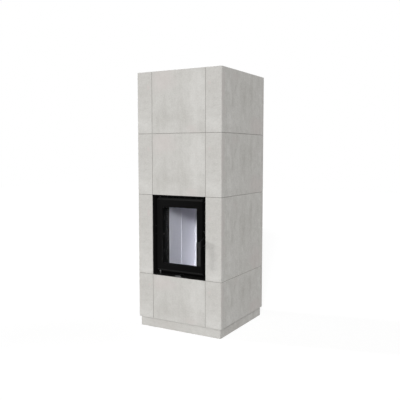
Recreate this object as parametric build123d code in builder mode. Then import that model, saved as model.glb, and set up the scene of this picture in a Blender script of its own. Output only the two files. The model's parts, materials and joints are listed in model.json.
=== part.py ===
"""A square tiled stove: a shell of large stone tiles round a steel firebox with a glazed door.

The frame: +X is to the right seen from the front, +Y to the back, +Z up.
The origin is at the centre of the footprint, on the floor. All sizes are in millimetres.
"""

from build123d import *
import os

os.makedirs("parts", exist_ok=True)

# ---------------------------------------------------------------- tiled shell
body_width = 710.0  # across the tile faces
body_depth = 710.0
tile_thickness = 30.0
joint_width = 3.0  # open joint between neighbouring tiles
mortar_recess = 2.5  # mortar lies this far behind the tile face
mortar_seam = 0.2  # between an upright joint's mortar and the bed over or under it
tile_edge = 1.2  # chamfer round each visible tile face
corner_radius = 6.0  # rounded outer arris of the corner tiles
place_tolerance = 0.001  # when an edge is picked by its place
bottom_row_height = 338.0
upper_row_height = 450.0

plinth_height = 70.0
plinth_inset = 12.0
plinth_thickness = 20.0

cover_thickness = 30.0
cover_drop = 2.0  # top face of the cover slab below the tile tops
cover_angle_leg = 30.0
cover_angle_thickness = 3.0
cover_angle_length = 120.0
cover_angle_spacing = 400.0

# ---------------------------------------------------------------- base
base_plate_thickness = 8.0
base_plate_gap = 1.0  # to the plinth boards
base_rail_width = 40.0
base_rail_height = 32.0
base_rail_spacing = 260.0
base_rail_end_gap = 12.0
foot_radius = 25.0
foot_disc_height = 8.0
foot_stud_radius = 6.0

# ---------------------------------------------------------------- firebox
lining_side_margin = 3.0  # front side boards' faces outside the glass opening
lining_thickness = 40.0
lining_step = 2.0  # the rear side boards stand this much further in
front_board_length = 167.0
rear_board_length = 205.0
board_gap = 0.5
lining_top_margin = 15.0  # board tops above the throat
lip_depth = 30.0
lip_drop = 28.0  # lip below the lower edge of the glass opening
lining_hole_radius = 4.0
lining_hole_depth = 12.0
lining_hole_height = 180.0  # above the lining floor
lining_hole_offset = 32.0  # of the first hole behind the board's front edge
lining_hole_spacing = 92.0
baffle_thickness = 30.0
baffle_front_gap = 69.0  # smoke passage in front of the baffle
steel_thickness = 4.0
firebox_lift = 10.0  # air slot plate above the floor of the door frame's recess
bed_drop = 85.0  # fire bed below the air slot plate
smoke_space = 96.0  # between the baffle and the steel top
post_depth = 60.0
post_step = 2.0  # posts stand this much outside the lining faces
stand_thickness = 6.0
stand_inset = 10.0
stand_front_gap = 9.0
stand_back_gap = 8.0

# ---------------------------------------------------------------- door frame
frame_setback = 2.0  # flange face behind the tile face
frame_gap = 1.0  # between the flange and the tiles
frame_face = 9.5
recess_depth = 50.0
back_flange_thickness = 4.0
throat_side_margin = 8.0  # throat beyond the glass opening
throat_top_margin = 26.0
throat_bottom_margin = 22.0
seal_recess = 4.0
frame_screw_radius = 2.9
frame_screw_hole_radius = 3.0
frame_screw_head_radius = 5.0
frame_screw_length = 16.0
frame_screw_inset = 3.0  # of the screw axis inside the posts' outer faces
frame_screw_pitch = 220.0

# ---------------------------------------------------------------- door leaf
leaf_setback = 12.0  # leaf face behind the flange face
leaf_thickness = 30.0
leaf_side_gap = 23.0
leaf_top_gap = 9.0
leaf_bottom_gap = 21.0
leaf_chamfer = 16.0
stile_width = 46.0
top_rail_height = 69.0
opening_width = 294.0
opening_height = 419.0
bottom_rail_height = 62.0
opening_radius = 2.0
glass_overlap = 10.0
glass_thickness = 4.0
glass_edge_gap = 0.5
glass_gasket_thickness = 3.0
glass_gasket_width = 8.0
clip_length = 24.0
clip_width = 16.0
clip_thickness = 2.0
clip_grip = 7.0  # overlap of a clip on the glass
clip_pitch_side = 240.0
clip_pitch_end = 160.0
clip_screw_radius = 1.9
clip_screw_hole_radius = 2.0
clip_screw_head_radius = 4.0
clip_screw_head_height = 2.5
clip_screw_length = 10.0
rope_width = 10.0
rope_thickness = 7.5
rope_side_margin = 25.0  # inner edge of the rope beyond the glass opening
rope_top_margin = 34.0
rope_bottom_margin = 30.0
rope_corner_radius = 14.0

# ---------------------------------------------------------------- hinge
hinge_inset = 12.0  # pin axis from the leaf's left edge
hinge_pin_radius = 4.0
hinge_hole_radius = 4.06
hinge_pin_reach = 18.0  # into the leaf
hinge_shoulder_radius = 7.0
hinge_washer_radius = 8.0
hinge_washer_height = 1.5
hinge_play = 0.3

# ---------------------------------------------------------------- handle and latch
handle_offset = 8.0  # pin axis outside the leaf's right edge
handle_pin_depth = 16.0  # pin axis behind the leaf face
handle_pin_radius = 3.0
handle_bore_radius = 3.06
handle_barrel_radius = 6.0
handle_plate_thickness = 5.0
handle_projection = 41.0  # grip face in front of the leaf face
handle_width = 36.0
handle_bend_radius = 3.0
grip_bottom = 77.0  # above the leaf's lower edge
grip_height = 169.0
grip_bevel = 1.4  # the grip's free half falls back this far
grip_bevel_width = 17.0
grip_shoulder_width = 15.0  # part of the grip's top edge that rises to the arm
grip_slope = 9.0  # rise of the grip's top edge to the arm
arm_height = 39.0  # where the arm meets the grip
arm_rise = 20.0  # of the arm's top edge to the leaf
knuckle_height = 55.0
knuckle_gap = 0.3
lower_lug_height = 12.0
upper_lug_height = 39.0
lug_width = 14.0
lug_depth = 12.0
handle_pin_overhang = 2.0
tongue_thickness = 10.0
tongue_eye_radius = 7.0
tongue_reach = 18.0  # behind the pin axis
tongue_nose = 8.7  # to the right of the pin axis
tongue_arm_width = 5.0
tongue_nose_depth = 8.0
keeper_clearance = 0.5
keeper_height = 30.0
keeper_depth = 14.0

# ---------------------------------------------------------------- combustion air
air_slot_width = 40.0
air_slot_depth = 24.0
air_slot_pitch = 110.0
air_slot_setback = 13.0  # front edge of the slots behind the back flange
air_travel = 30.0  # of the slide, each way
air_box_depth = 56.0
air_box_height = 257.0
air_box_wall = 2.0
air_box_side_gap = 3.0  # to the stand plates
air_ledge_width = 8.0
air_ledge_thickness = 3.0
slide_thickness = 4.0
slide_play = 0.3
slide_overlap = 8.0  # of the slide beyond its outer slots
stem_width = 20.0
stem_thickness = 4.0
stem_side_play = 5.0
lever_width = 46.0
lever_drop = 7.2  # of the finger tab below the stem
lever_gap = 4.0  # between the tab and the flange face
duct_radius = 63.0
duct_wall = 1.5
duct_lift = 70.0  # duct axis above the bottom of the air box
duct_tile_gap = 2.5
rear_setback = 2.0  # pipe ends inside the rear tile face

# ---------------------------------------------------------------- smoke path
flue_radius = 75.0
flue_wall = 2.0
riser_inset = 218.0  # riser axis in front of the firebox's rear wall
riser_cap_margin = 16.0
collar_radius = 76.0  # takes a pipe of 150 mm
collar_wall = 4.0
collar_length = 60.0
collar_seat = 5.0
collar_tile_gap = 3.0
ring_size = 400.0
ring_count = 5
ring_top_gap = 13.0  # between the top ring and the outlet pipe
ring_bore_gap = 3.0
ring_seat = 0.3  # thin bed between one ring and the next
ring_chamfer = 30.0

# ---------------------------------------------------------------- places worked out from the sizes
half_width = body_width / 2
front = -body_depth / 2
back = body_depth / 2
inner_x = half_width - tile_thickness
inner_front = front + tile_thickness
inner_back = back - tile_thickness

leaf_half_width = opening_width / 2 + stile_width
recess_half_width = leaf_half_width + leaf_side_gap
frame_half_width = recess_half_width + frame_face
pillar_x = frame_half_width + frame_gap
centre_tile_width = 2 * (pillar_x - joint_width)
leaf_height = bottom_rail_height + opening_height + top_rail_height
recess_height = leaf_bottom_gap + leaf_height + leaf_top_gap
door_row_height = recess_height + 2 * (frame_face + frame_gap) - joint_width

row_heights = {
    "bottom": bottom_row_height,
    "door": door_row_height,
    "middle": upper_row_height,
    "top": upper_row_height,
}
row_low = {}
row_high = {}
level = plinth_height
for row, height in row_heights.items():
    row_low[row] = level if row == "bottom" else level + joint_width / 2
    level = level + height
    row_high[row] = level if row == "top" else level - joint_width / 2
body_height = level

frame_bottom = row_high["bottom"] + frame_gap
frame_top = row_low["middle"] - frame_gap
frame_front = front + frame_setback
recess_bottom = frame_bottom + frame_face
recess_top = frame_top - frame_face
flange_front = frame_front + recess_depth
firebox_front = flange_front + back_flange_thickness

leaf_bottom = recess_bottom + leaf_bottom_gap
leaf_top = recess_top - leaf_top_gap
leaf_front = frame_front + leaf_setback
leaf_back = leaf_front + leaf_thickness
opening_bottom = leaf_bottom + bottom_rail_height
opening_top = opening_bottom + opening_height
opening_centre = (opening_bottom + opening_top) / 2
throat_half_width = opening_width / 2 + throat_side_margin
throat_bottom = opening_bottom - throat_bottom_margin
throat_top = opening_top + throat_top_margin

hinge_x = -leaf_half_width + hinge_inset
hinge_y = leaf_back - (leaf_thickness - leaf_chamfer) / 2
handle_x = leaf_half_width + handle_offset
handle_y = leaf_front + handle_pin_depth

fire_width = opening_width + 2 * lining_side_margin
firebox_half_width = fire_width / 2 + lining_thickness + steel_thickness
lining_half_width = fire_width / 2 + lining_thickness
lining_front = firebox_front + post_depth
rear_board_front = lining_front + front_board_length + board_gap
back_board_front = rear_board_front + rear_board_length + board_gap
lining_back = back_board_front + lining_thickness
firebox_back = lining_back + steel_thickness
firebox_bottom_height = recess_bottom + firebox_lift
steel_floor = firebox_bottom_height + steel_thickness
bed_bottom = firebox_bottom_height - bed_drop
bed_top = bed_bottom + steel_thickness
lining_floor_top = bed_top + lining_thickness
lining_top = throat_top + lining_top_margin
lining_wall_height = lining_top - lining_floor_top
lip_height = opening_bottom - lip_drop - lining_floor_top
steel_ceiling = lining_top + baffle_thickness + smoke_space
firebox_top = steel_ceiling + steel_thickness
duct_height = firebox_bottom_height - air_box_height + duct_lift

riser_y = firebox_back - riser_inset
flue_height = (row_low["top"] + row_high["top"]) / 2
rear_end = back - rear_setback
collar_front = rear_end - collar_length - collar_seat


def box_plan(x_low, x_high, y_low, y_high):
    """Adds a rectangle to the open sketch, from its lowest to its highest corner."""
    with Locations(((x_low + x_high) / 2, (y_low + y_high) / 2)):
        Rectangle(x_high - x_low, y_high - y_low)


def upright(y):
    """The upright plane at y: its own x is +X, its own y is +Z, and it faces the front."""
    return Plane.XZ.offset(-y)


# ================================================================ plinth
plinth_x = half_width - plinth_inset
plinth_y = back - plinth_inset

for name, turns, outer, reach in (
    ("plinth_front", (0,), plinth_y, plinth_x),
    ("plinth_back", (180,), plinth_y, plinth_x),
    ("plinth_sides", (90, 270), plinth_x, plinth_y),
):
    with BuildPart() as plinth_board:
        for turn in turns:
            with BuildSketch(Plane.XY.rotated((0, 0, turn))):
                Polygon(
                    (-reach, -outer),
                    (reach, -outer),
                    (reach - plinth_thickness, plinth_thickness - outer),
                    (plinth_thickness - reach, plinth_thickness - outer),
                    align=None,
                )
            extrude(amount=plinth_height)
    plinth_board.part.label = name
    export_step(plinth_board.part, f"parts/{name}.step")

# ================================================================ corner tiles
for row in row_heights:
    tile_height = row_high[row] - row_low[row]
    for hand, side in (("left", -1), ("right", 1)):
        with BuildPart() as corner_tile:
            with BuildSketch(Plane.XY.offset(row_low[row])) as corner_plan:
                Polygon(
                    (side * pillar_x, front),
                    (side * half_width, front),
                    (side * half_width, back),
                    (side * inner_x, back),
                    (side * inner_x, inner_front),
                    (side * pillar_x, inner_front),
                    align=None,
                )
                fillet(corner_plan.vertices().group_by(Axis((0, 0, 0), (side, 0, 0)))[-1], corner_radius)
            extrude(amount=tile_height)
            outer_ends = corner_tile.faces().filter_by(Axis.Z).edges().filter_by(
                lambda edge: all(
                    abs(abs(corner.X) - half_width) < place_tolerance
                    or abs(abs(corner.Y) - back) < place_tolerance
                    for corner in edge.vertices()
                )
            )
            joint_edges = corner_tile.edges().filter_by(Axis.Z).filter_by(
                lambda edge: (
                    abs(abs(edge.center().X) - pillar_x) < place_tolerance
                    and abs(edge.center().Y - front) < place_tolerance
                )
                or (
                    abs(abs(edge.center().X) - inner_x) < place_tolerance
                    and abs(edge.center().Y - back) < place_tolerance
                )
            )
            chamfer(outer_ends + joint_edges, tile_edge)
        corner_tile.part.label = f"corner_tile_{row}_{hand}"
        export_step(corner_tile.part, f"parts/corner_tile_{row}_{hand}.step")

# ================================================================ centre tiles
for row in ("bottom", "middle", "top"):
    with BuildPart() as centre_tile:
        with BuildSketch(Plane.XY.offset(row_low[row])):
            box_plan(-centre_tile_width / 2, centre_tile_width / 2, front, inner_front)
        extrude(amount=row_high[row] - row_low[row])
        chamfer(centre_tile.faces().sort_by(Axis.Y)[0].edges(), tile_edge)
    centre_tile.part.label = f"centre_tile_{row}"
    export_step(centre_tile.part, f"parts/centre_tile_{row}.step")

# ================================================================ back tiles
back_tile_x = inner_x - joint_width
pipe_holes = {
    "bottom": (duct_height, duct_radius + duct_wall + duct_tile_gap),
    "top": (flue_height, collar_radius + collar_wall + collar_tile_gap),
}
for row in row_heights:
    with BuildPart() as back_tile:
        with BuildSketch(Plane.XY.offset(row_low[row])):
            box_plan(-back_tile_x, back_tile_x, inner_back, back)
        extrude(amount=row_high[row] - row_low[row])
        if row in pipe_holes:
            hole_height, hole_radius = pipe_holes[row]
            with BuildSketch(upright(back)):
                with Locations((0, hole_height)):
                    Circle(hole_radius)
            extrude(amount=tile_thickness, mode=Mode.SUBTRACT)
        chamfer(back_tile.faces().sort_by(Axis.Y)[-1].edges(), tile_edge)
    back_tile.part.label = f"back_tile_{row}"
    export_step(back_tile.part, f"parts/back_tile_{row}.step")

# ================================================================ mortar in the joints
mortar_front = front + mortar_recess
mortar_back = back - mortar_recess
mortar_x = half_width - mortar_recess

with BuildPart() as joint_mortar:
    for lower, upper in (("bottom", "door"), ("door", "middle"), ("middle", "top")):
        with BuildSketch(Plane.XY.offset(row_high[lower])):
            box_plan(-mortar_x, mortar_x, mortar_front, mortar_back)
            with BuildSketch(mode=Mode.SUBTRACT):
                box_plan(-inner_x, inner_x, inner_front, inner_back)
            if "door" in (lower, upper):
                with BuildSketch(mode=Mode.SUBTRACT):
                    box_plan(-pillar_x, pillar_x, front, inner_front)
        extrude(amount=row_low[upper] - row_high[lower])
    for row in row_heights:
        with BuildSketch(Plane.XY.offset(row_low[row] + mortar_seam)):
            for side in (-1, 1):
                back_joint_x = side * (back_tile_x + joint_width / 2)
                front_joint_x = side * (pillar_x - joint_width / 2)
                with Locations((back_joint_x, (inner_back + mortar_back) / 2)):
                    Rectangle(joint_width, mortar_back - inner_back)
                if row != "door":
                    with Locations((front_joint_x, (inner_front + mortar_front) / 2)):
                        Rectangle(joint_width, inner_front - mortar_front)
        extrude(amount=row_high[row] - row_low[row] - 2 * mortar_seam)
joint_mortar.part.label = "joint_mortar"
export_step(joint_mortar.part, "parts/joint_mortar.step")

# ================================================================ cover slab on its angles
cover_top = body_height - cover_drop
cover_bottom = cover_top - cover_thickness

with BuildPart() as cover_slab:
    with BuildSketch(Plane.XY.offset(cover_bottom)):
        Rectangle(2 * (inner_x - joint_width), 2 * (inner_back - joint_width))
    extrude(amount=cover_thickness)
    chamfer(cover_slab.faces().sort_by(Axis.Z)[-1].edges(), tile_edge)
cover_slab.part.label = "cover_slab"
export_step(cover_slab.part, "parts/cover_slab.step")

with BuildPart() as cover_angles:
    for side in (-1, 1):
        for place in (-1, 1):
            angle_start = place * cover_angle_spacing / 2 + cover_angle_length / 2
            with BuildSketch(upright(angle_start)):
                Polygon(
                    (side * inner_x, cover_bottom),
                    (side * (inner_x - cover_angle_leg), cover_bottom),
                    (side * (inner_x - cover_angle_leg), cover_bottom - cover_angle_thickness),
                    (side * (inner_x - cover_angle_thickness), cover_bottom - cover_angle_thickness),
                    (side * (inner_x - cover_angle_thickness), cover_bottom - cover_angle_leg),
                    (side * inner_x, cover_bottom - cover_angle_leg),
                    align=None,
                )
            extrude(amount=cover_angle_length)
cover_angles.part.label = "cover_angles"
export_step(cover_angles.part, "parts/cover_angles.step")

# ================================================================ base plate, rails and feet
base_half_x = plinth_x - plinth_thickness - base_plate_gap
base_half_y = plinth_y - plinth_thickness - base_plate_gap
base_plate_bottom = plinth_height - base_plate_thickness
base_rail_bottom = base_plate_bottom - base_rail_height
rail_half_length = base_half_y - base_rail_end_gap

with BuildPart() as base_plate:
    with BuildSketch(Plane.XY.offset(base_plate_bottom)):
        Rectangle(2 * base_half_x, 2 * base_half_y)
    extrude(amount=base_plate_thickness)
base_plate.part.label = "base_plate"
export_step(base_plate.part, "parts/base_plate.step")

with BuildPart() as base_rails:
    with BuildSketch(Plane.XY.offset(base_rail_bottom)):
        with GridLocations(base_rail_spacing, 0, 3, 1):
            Rectangle(base_rail_width, 2 * rail_half_length)
    extrude(amount=base_rail_height)
base_rails.part.label = "base_rails"
export_step(base_rails.part, "parts/base_rails.step")

foot_reach = rail_half_length - foot_radius
with BuildPart() as levelling_feet:
    feet = [(0, 0)]
    for side in (-1, 1):
        for end in (-1, 1):
            feet.append((side * base_rail_spacing, end * foot_reach))
    with BuildSketch():
        with Locations(*feet):
            Circle(foot_radius)
    extrude(amount=foot_disc_height)
    with BuildSketch(Plane.XY.offset(foot_disc_height)):
        with Locations(*feet):
            Circle(foot_stud_radius)
    extrude(amount=base_rail_bottom - foot_disc_height)
levelling_feet.part.label = "levelling_feet"
export_step(levelling_feet.part, "parts/levelling_feet.step")

# ================================================================ steel firebox
stand_x = firebox_half_width - stand_inset
with BuildPart() as firebox_stand:
    with BuildSketch(Plane.XY.offset(plinth_height)):
        for side in (-1, 1):
            stand_low = firebox_front + stand_front_gap
            stand_high = firebox_back - stand_back_gap
            with Locations((side * (stand_x - stand_thickness / 2), (stand_low + stand_high) / 2)):
                Rectangle(stand_thickness, stand_high - stand_low)
    extrude(amount=bed_bottom - plinth_height)
firebox_stand.part.label = "firebox_stand"
export_step(firebox_stand.part, "parts/firebox_stand.step")

air_slot_y = firebox_front + air_slot_setback + air_slot_depth / 2
step_front = lining_front - steel_thickness
with BuildPart() as firebox_bottom:
    with BuildSketch(Plane.YZ.offset(-firebox_half_width)):
        Polygon(
            (firebox_front, firebox_bottom_height),
            (step_front, firebox_bottom_height),
            (step_front, bed_bottom),
            (firebox_back, bed_bottom),
            (firebox_back, bed_top),
            (lining_front, bed_top),
            (lining_front, steel_floor),
            (firebox_front, steel_floor),
            align=None,
        )
    extrude(amount=2 * firebox_half_width)
    with BuildSketch(Plane.XY.offset(firebox_bottom_height)):
        with Locations((0, air_slot_y)):
            with GridLocations(air_slot_pitch, 0, 3, 1):
                Rectangle(air_slot_width, air_slot_depth)
    extrude(amount=steel_thickness, mode=Mode.SUBTRACT)
firebox_bottom.part.label = "firebox_bottom"
export_step(firebox_bottom.part, "parts/firebox_bottom.step")

with BuildPart() as firebox_sides:
    for side_start in (-firebox_half_width, lining_half_width):
        with BuildSketch(Plane.YZ.offset(side_start)):
            Polygon(
                (firebox_front, steel_floor),
                (lining_front, steel_floor),
                (lining_front, bed_top),
                (firebox_back, bed_top),
                (firebox_back, steel_ceiling),
                (firebox_front, steel_ceiling),
                align=None,
            )
        extrude(amount=steel_thickness)
firebox_sides.part.label = "firebox_sides"
export_step(firebox_sides.part, "parts/firebox_sides.step")

with BuildPart() as firebox_back_wall:
    with BuildSketch(Plane.XY.offset(bed_top)):
        box_plan(-lining_half_width, lining_half_width, lining_back, firebox_back)
    extrude(amount=steel_ceiling - bed_top)
firebox_back_wall.part.label = "firebox_back_wall"
export_step(firebox_back_wall.part, "parts/firebox_back_wall.step")

with BuildPart() as firebox_top_plate:
    with BuildSketch(Plane.XY.offset(steel_ceiling)):
        box_plan(-firebox_half_width, firebox_half_width, firebox_front, firebox_back)
        with Locations((0, riser_y)):
            Circle(flue_radius, mode=Mode.SUBTRACT)
    extrude(amount=steel_thickness)
firebox_top_plate.part.label = "firebox_top_plate"
export_step(firebox_top_plate.part, "parts/firebox_top_plate.step")

post_inner = fire_width / 2 + post_step
screw_x = lining_half_width - frame_screw_inset
screw_heights = [opening_centre + step * frame_screw_pitch for step in (-1, 0, 1)]
screw_places = [(side * screw_x, height) for side in (-1, 1) for height in screw_heights]
with BuildPart() as front_posts:
    with BuildSketch(Plane.XY.offset(steel_floor)):
        box_plan(-lining_half_width, -post_inner, firebox_front, lining_front)
        box_plan(post_inner, lining_half_width, firebox_front, lining_front)
    extrude(amount=steel_ceiling - steel_floor)
    with BuildSketch(upright(firebox_front)):
        with Locations(*screw_places):
            Circle(frame_screw_hole_radius)
    extrude(amount=-(frame_screw_length - back_flange_thickness), mode=Mode.SUBTRACT)
front_posts.part.label = "front_posts"
export_step(front_posts.part, "parts/front_posts.step")

with BuildPart() as firebox_header:
    with BuildSketch(Plane.XY.offset(throat_top)):
        box_plan(-post_inner, post_inner, firebox_front, firebox_front + steel_thickness)
    extrude(amount=steel_ceiling - throat_top)
firebox_header.part.label = "firebox_header"
export_step(firebox_header.part, "parts/firebox_header.step")

# ================================================================ firebox lining
with BuildPart() as lining_floor:
    with BuildSketch(Plane.XY.offset(bed_top)):
        box_plan(-lining_half_width, lining_half_width, lining_front, lining_back)
    extrude(amount=lining_thickness)
lining_floor.part.label = "lining_floor"
export_step(lining_floor.part, "parts/lining_floor.step")

lip_half_width = fire_width / 2 - board_gap
with BuildPart() as lining_lip:
    with BuildSketch(Plane.XY.offset(lining_floor_top)):
        box_plan(-lip_half_width, lip_half_width, lining_front, lining_front + lip_depth)
    extrude(amount=lip_height)
lining_lip.part.label = "lining_lip"
export_step(lining_lip.part, "parts/lining_lip.step")

with BuildPart() as lining_front_boards:
    with BuildSketch(Plane.XY.offset(lining_floor_top)):
        for side in (-1, 1):
            with Locations(
                (side * (fire_width + lining_thickness) / 2, lining_front + front_board_length / 2)
            ):
                Rectangle(lining_thickness, front_board_length)
    extrude(amount=lining_wall_height)
lining_front_boards.part.label = "lining_front_boards"
export_step(lining_front_boards.part, "parts/lining_front_boards.step")

rear_board_face = fire_width / 2 - lining_step
rear_board_thickness = lining_thickness + lining_step
hole_y = rear_board_front + lining_hole_offset
hole_z = lining_floor_top + lining_hole_height
with BuildPart() as lining_rear_boards:
    for side in (-1, 1):
        with BuildSketch(Plane.XY.offset(lining_floor_top)):
            with Locations(
                (
                    side * (rear_board_face + rear_board_thickness / 2),
                    rear_board_front + rear_board_length / 2,
                )
            ):
                Rectangle(rear_board_thickness, rear_board_length)
        extrude(amount=lining_wall_height)
        with BuildSketch(Plane.YZ.offset(side * rear_board_face)):
            with Locations((hole_y, hole_z), (hole_y + lining_hole_spacing, hole_z)):
                Circle(lining_hole_radius)
        extrude(amount=side * lining_hole_depth, mode=Mode.SUBTRACT)
lining_rear_boards.part.label = "lining_rear_boards"
export_step(lining_rear_boards.part, "parts/lining_rear_boards.step")

with BuildPart() as lining_back_board:
    with BuildSketch(Plane.XY.offset(lining_floor_top)):
        box_plan(-lining_half_width, lining_half_width, back_board_front, lining_back)
    extrude(amount=lining_wall_height)
lining_back_board.part.label = "lining_back_board"
export_step(lining_back_board.part, "parts/lining_back_board.step")

with BuildPart() as baffle_plate:
    with BuildSketch(Plane.XY.offset(lining_top)):
        box_plan(-lining_half_width, lining_half_width, lining_front + baffle_front_gap, lining_back)
    extrude(amount=baffle_thickness)
baffle_plate.part.label = "baffle_plate"
export_step(baffle_plate.part, "parts/baffle_plate.step")

# ================================================================ smoke riser, outlet and storage rings
riser_top = flue_height + flue_radius + flue_wall + riser_cap_margin
with BuildPart() as flue_pipe:
    with BuildSketch(Plane.XY.offset(firebox_top)):
        with Locations((0, riser_y)):
            Circle(flue_radius + flue_wall)
    extrude(amount=riser_top - firebox_top)
    with BuildSketch(upright(collar_front)):
        with Locations((0, flue_height)):
            Circle(flue_radius + flue_wall)
    extrude(amount=collar_front - riser_y)
    with BuildSketch(Plane.XY.offset(firebox_top)):
        with Locations((0, riser_y)):
            Circle(flue_radius)
    extrude(amount=riser_top - flue_wall - firebox_top, mode=Mode.SUBTRACT)
    with BuildSketch(upright(collar_front)):
        with Locations((0, flue_height)):
            Circle(flue_radius)
    extrude(amount=collar_front - riser_y, mode=Mode.SUBTRACT)
flue_pipe.part.label = "flue_pipe"
export_step(flue_pipe.part, "parts/flue_pipe.step")

with BuildPart() as flue_collar:
    with BuildSketch(upright(rear_end)):
        with Locations((0, flue_height)):
            Circle(collar_radius + collar_wall)
    extrude(amount=rear_end - collar_front)
    with BuildSketch(upright(rear_end)):
        with Locations((0, flue_height)):
            Circle(collar_radius)
    extrude(amount=collar_length, mode=Mode.SUBTRACT)
    with BuildSketch(upright(rear_end - collar_length)):
        with Locations((0, flue_height)):
            Circle(flue_radius)
    extrude(amount=collar_seat, mode=Mode.SUBTRACT)
flue_collar.part.label = "flue_collar"
export_step(flue_collar.part, "parts/flue_collar.step")

ring_space = flue_height - flue_radius - flue_wall - ring_top_gap - firebox_top
ring_height = ring_space / ring_count - ring_seat
with BuildPart() as storage_rings:
    for place in range(ring_count):
        with BuildPart(mode=Mode.PRIVATE) as storage_ring:
            with BuildSketch(Plane.XY.offset(firebox_top + place * (ring_height + ring_seat))) as ring_plan:
                with Locations((0, riser_y)):
                    Rectangle(ring_size, ring_size)
                chamfer(ring_plan.vertices(), ring_chamfer)
                with Locations((0, riser_y)):
                    Circle(flue_radius + flue_wall + ring_bore_gap, mode=Mode.SUBTRACT)
            extrude(amount=ring_height)
        add(storage_ring.part)
storage_rings.part.label = "storage_rings"
export_step(storage_rings.part, "parts/storage_rings.step")

# ================================================================ combustion air
air_box_x = stand_x - stand_thickness - air_box_side_gap
air_box_inner_x = air_box_x - air_box_wall
air_box_back = firebox_front + air_box_depth
air_box_bottom = firebox_bottom_height - air_box_height
slide_top = firebox_bottom_height - slide_play
slide_bottom = slide_top - slide_thickness
ledge_top = slide_bottom - slide_play
stem_bottom = slide_bottom - stem_thickness
stem_slot_half = stem_width / 2 + air_travel + stem_side_play
slide_half = air_slot_pitch + air_slot_width / 2 + slide_overlap

with BuildPart() as air_box:
    with BuildSketch(Plane.XY.offset(air_box_bottom)):
        box_plan(-air_box_x, air_box_x, firebox_front, air_box_back)
    extrude(amount=air_box_height)
    with BuildSketch(Plane.XY.offset(air_box_bottom + air_box_wall)):
        box_plan(
            -air_box_inner_x, air_box_inner_x, firebox_front + air_box_wall, air_box_back - air_box_wall
        )
    extrude(amount=air_box_height - air_box_wall, mode=Mode.SUBTRACT)
    with BuildSketch(Plane.XY.offset(ledge_top - air_ledge_thickness)):
        ledge_front = firebox_front + air_box_wall
        ledge_back = air_box_back - air_box_wall
        box_plan(-air_box_inner_x, air_box_inner_x, ledge_back - air_ledge_width, ledge_back)
        box_plan(-air_box_inner_x, -stem_slot_half, ledge_front, ledge_front + air_ledge_width)
        box_plan(stem_slot_half, air_box_inner_x, ledge_front, ledge_front + air_ledge_width)
    extrude(amount=air_ledge_thickness)
    with BuildSketch(Plane.XY.offset(stem_bottom - 2 * slide_play)):
        box_plan(-stem_slot_half, stem_slot_half, firebox_front, firebox_front + air_box_wall)
    extrude(amount=stem_thickness + 4 * slide_play, mode=Mode.SUBTRACT)
    with BuildSketch(upright(air_box_back)):
        with Locations((0, duct_height)):
            Circle(duct_radius)
    extrude(amount=air_box_wall, mode=Mode.SUBTRACT)
air_box.part.label = "air_box"
export_step(air_box.part, "parts/air_box.step")

with BuildPart() as air_duct:
    with BuildSketch(upright(rear_end)):
        with Locations((0, duct_height)):
            Circle(duct_radius + duct_wall)
            Circle(duct_radius, mode=Mode.SUBTRACT)
    extrude(amount=rear_end - air_box_back)
air_duct.part.label = "air_duct"
export_step(air_duct.part, "parts/air_duct.step")

with BuildPart() as air_slide:
    with BuildSketch(Plane.XY.offset(slide_bottom)):
        box_plan(
            -slide_half,
            slide_half,
            firebox_front + air_box_wall + slide_play,
            air_box_back - air_box_wall - slide_play,
        )
        with Locations((-air_travel, air_slot_y)):
            with GridLocations(air_slot_pitch, 0, 3, 1):
                Rectangle(air_slot_width, air_slot_depth, mode=Mode.SUBTRACT)
    extrude(amount=slide_thickness)
air_slide.part.label = "air_slide"
export_step(air_slide.part, "parts/air_slide.step")

tab_back = frame_front - lever_gap
tab_front = tab_back - stem_thickness
stem_end = firebox_front + air_slot_setback
with BuildPart() as air_lever:
    with BuildSketch(Plane.XY.offset(stem_bottom)):
        box_plan(-stem_width / 2, stem_width / 2, tab_back, stem_end)
        box_plan(-lever_width / 2, lever_width / 2, tab_front, tab_back)
    extrude(amount=stem_thickness)
    with BuildSketch(Plane.XY.offset(stem_bottom)):
        box_plan(-lever_width / 2, lever_width / 2, tab_front, tab_back)
    extrude(amount=-lever_drop)
    bend_edge = air_lever.edges().filter_by(Axis.X).group_by(Axis.Z)[-1].sort_by(Axis.Y)[0]
    fillet(bend_edge, stem_thickness * 0.8)
    fillet(
        air_lever.edges().filter_by(Axis.Y).group_by(Axis.Z)[0],
        stem_thickness * 0.7,
    )
air_lever.part.label = "air_lever"
export_step(air_lever.part, "parts/air_lever.step")

# ================================================================ fixed door frame
frame_centre = (frame_bottom + frame_top) / 2
recess_centre = (recess_bottom + recess_top) / 2
with BuildPart() as door_frame:
    with BuildSketch(upright(firebox_front)):
        with Locations((0, frame_centre)):
            Rectangle(2 * frame_half_width, frame_top - frame_bottom)
    extrude(amount=firebox_front - frame_front)
    with BuildSketch(upright(flange_front)):
        with Locations((0, recess_centre)):
            Rectangle(2 * recess_half_width, recess_top - recess_bottom)
    extrude(amount=flange_front - frame_front, mode=Mode.SUBTRACT)
    with BuildSketch(upright(firebox_front)):
        with Locations((0, (throat_bottom + throat_top) / 2)):
            Rectangle(2 * throat_half_width, throat_top - throat_bottom)
    extrude(amount=back_flange_thickness, mode=Mode.SUBTRACT)
    with BuildSketch(upright(firebox_front)):
        with Locations(*screw_places):
            Circle(frame_screw_hole_radius)
    extrude(amount=back_flange_thickness, mode=Mode.SUBTRACT)
    with BuildSketch(upright(flange_front)):
        with Locations(*screw_places):
            Circle(frame_screw_head_radius)
    extrude(amount=-back_flange_thickness / 2, mode=Mode.SUBTRACT)
    with BuildSketch(Plane.XY.offset(recess_bottom)):
        box_plan(-stem_slot_half, stem_slot_half, flange_front, firebox_front)
    extrude(amount=stem_bottom + stem_thickness + 2 * slide_play - recess_bottom, mode=Mode.SUBTRACT)
door_frame.part.label = "door_frame"
export_step(door_frame.part, "parts/door_frame.step")

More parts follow.
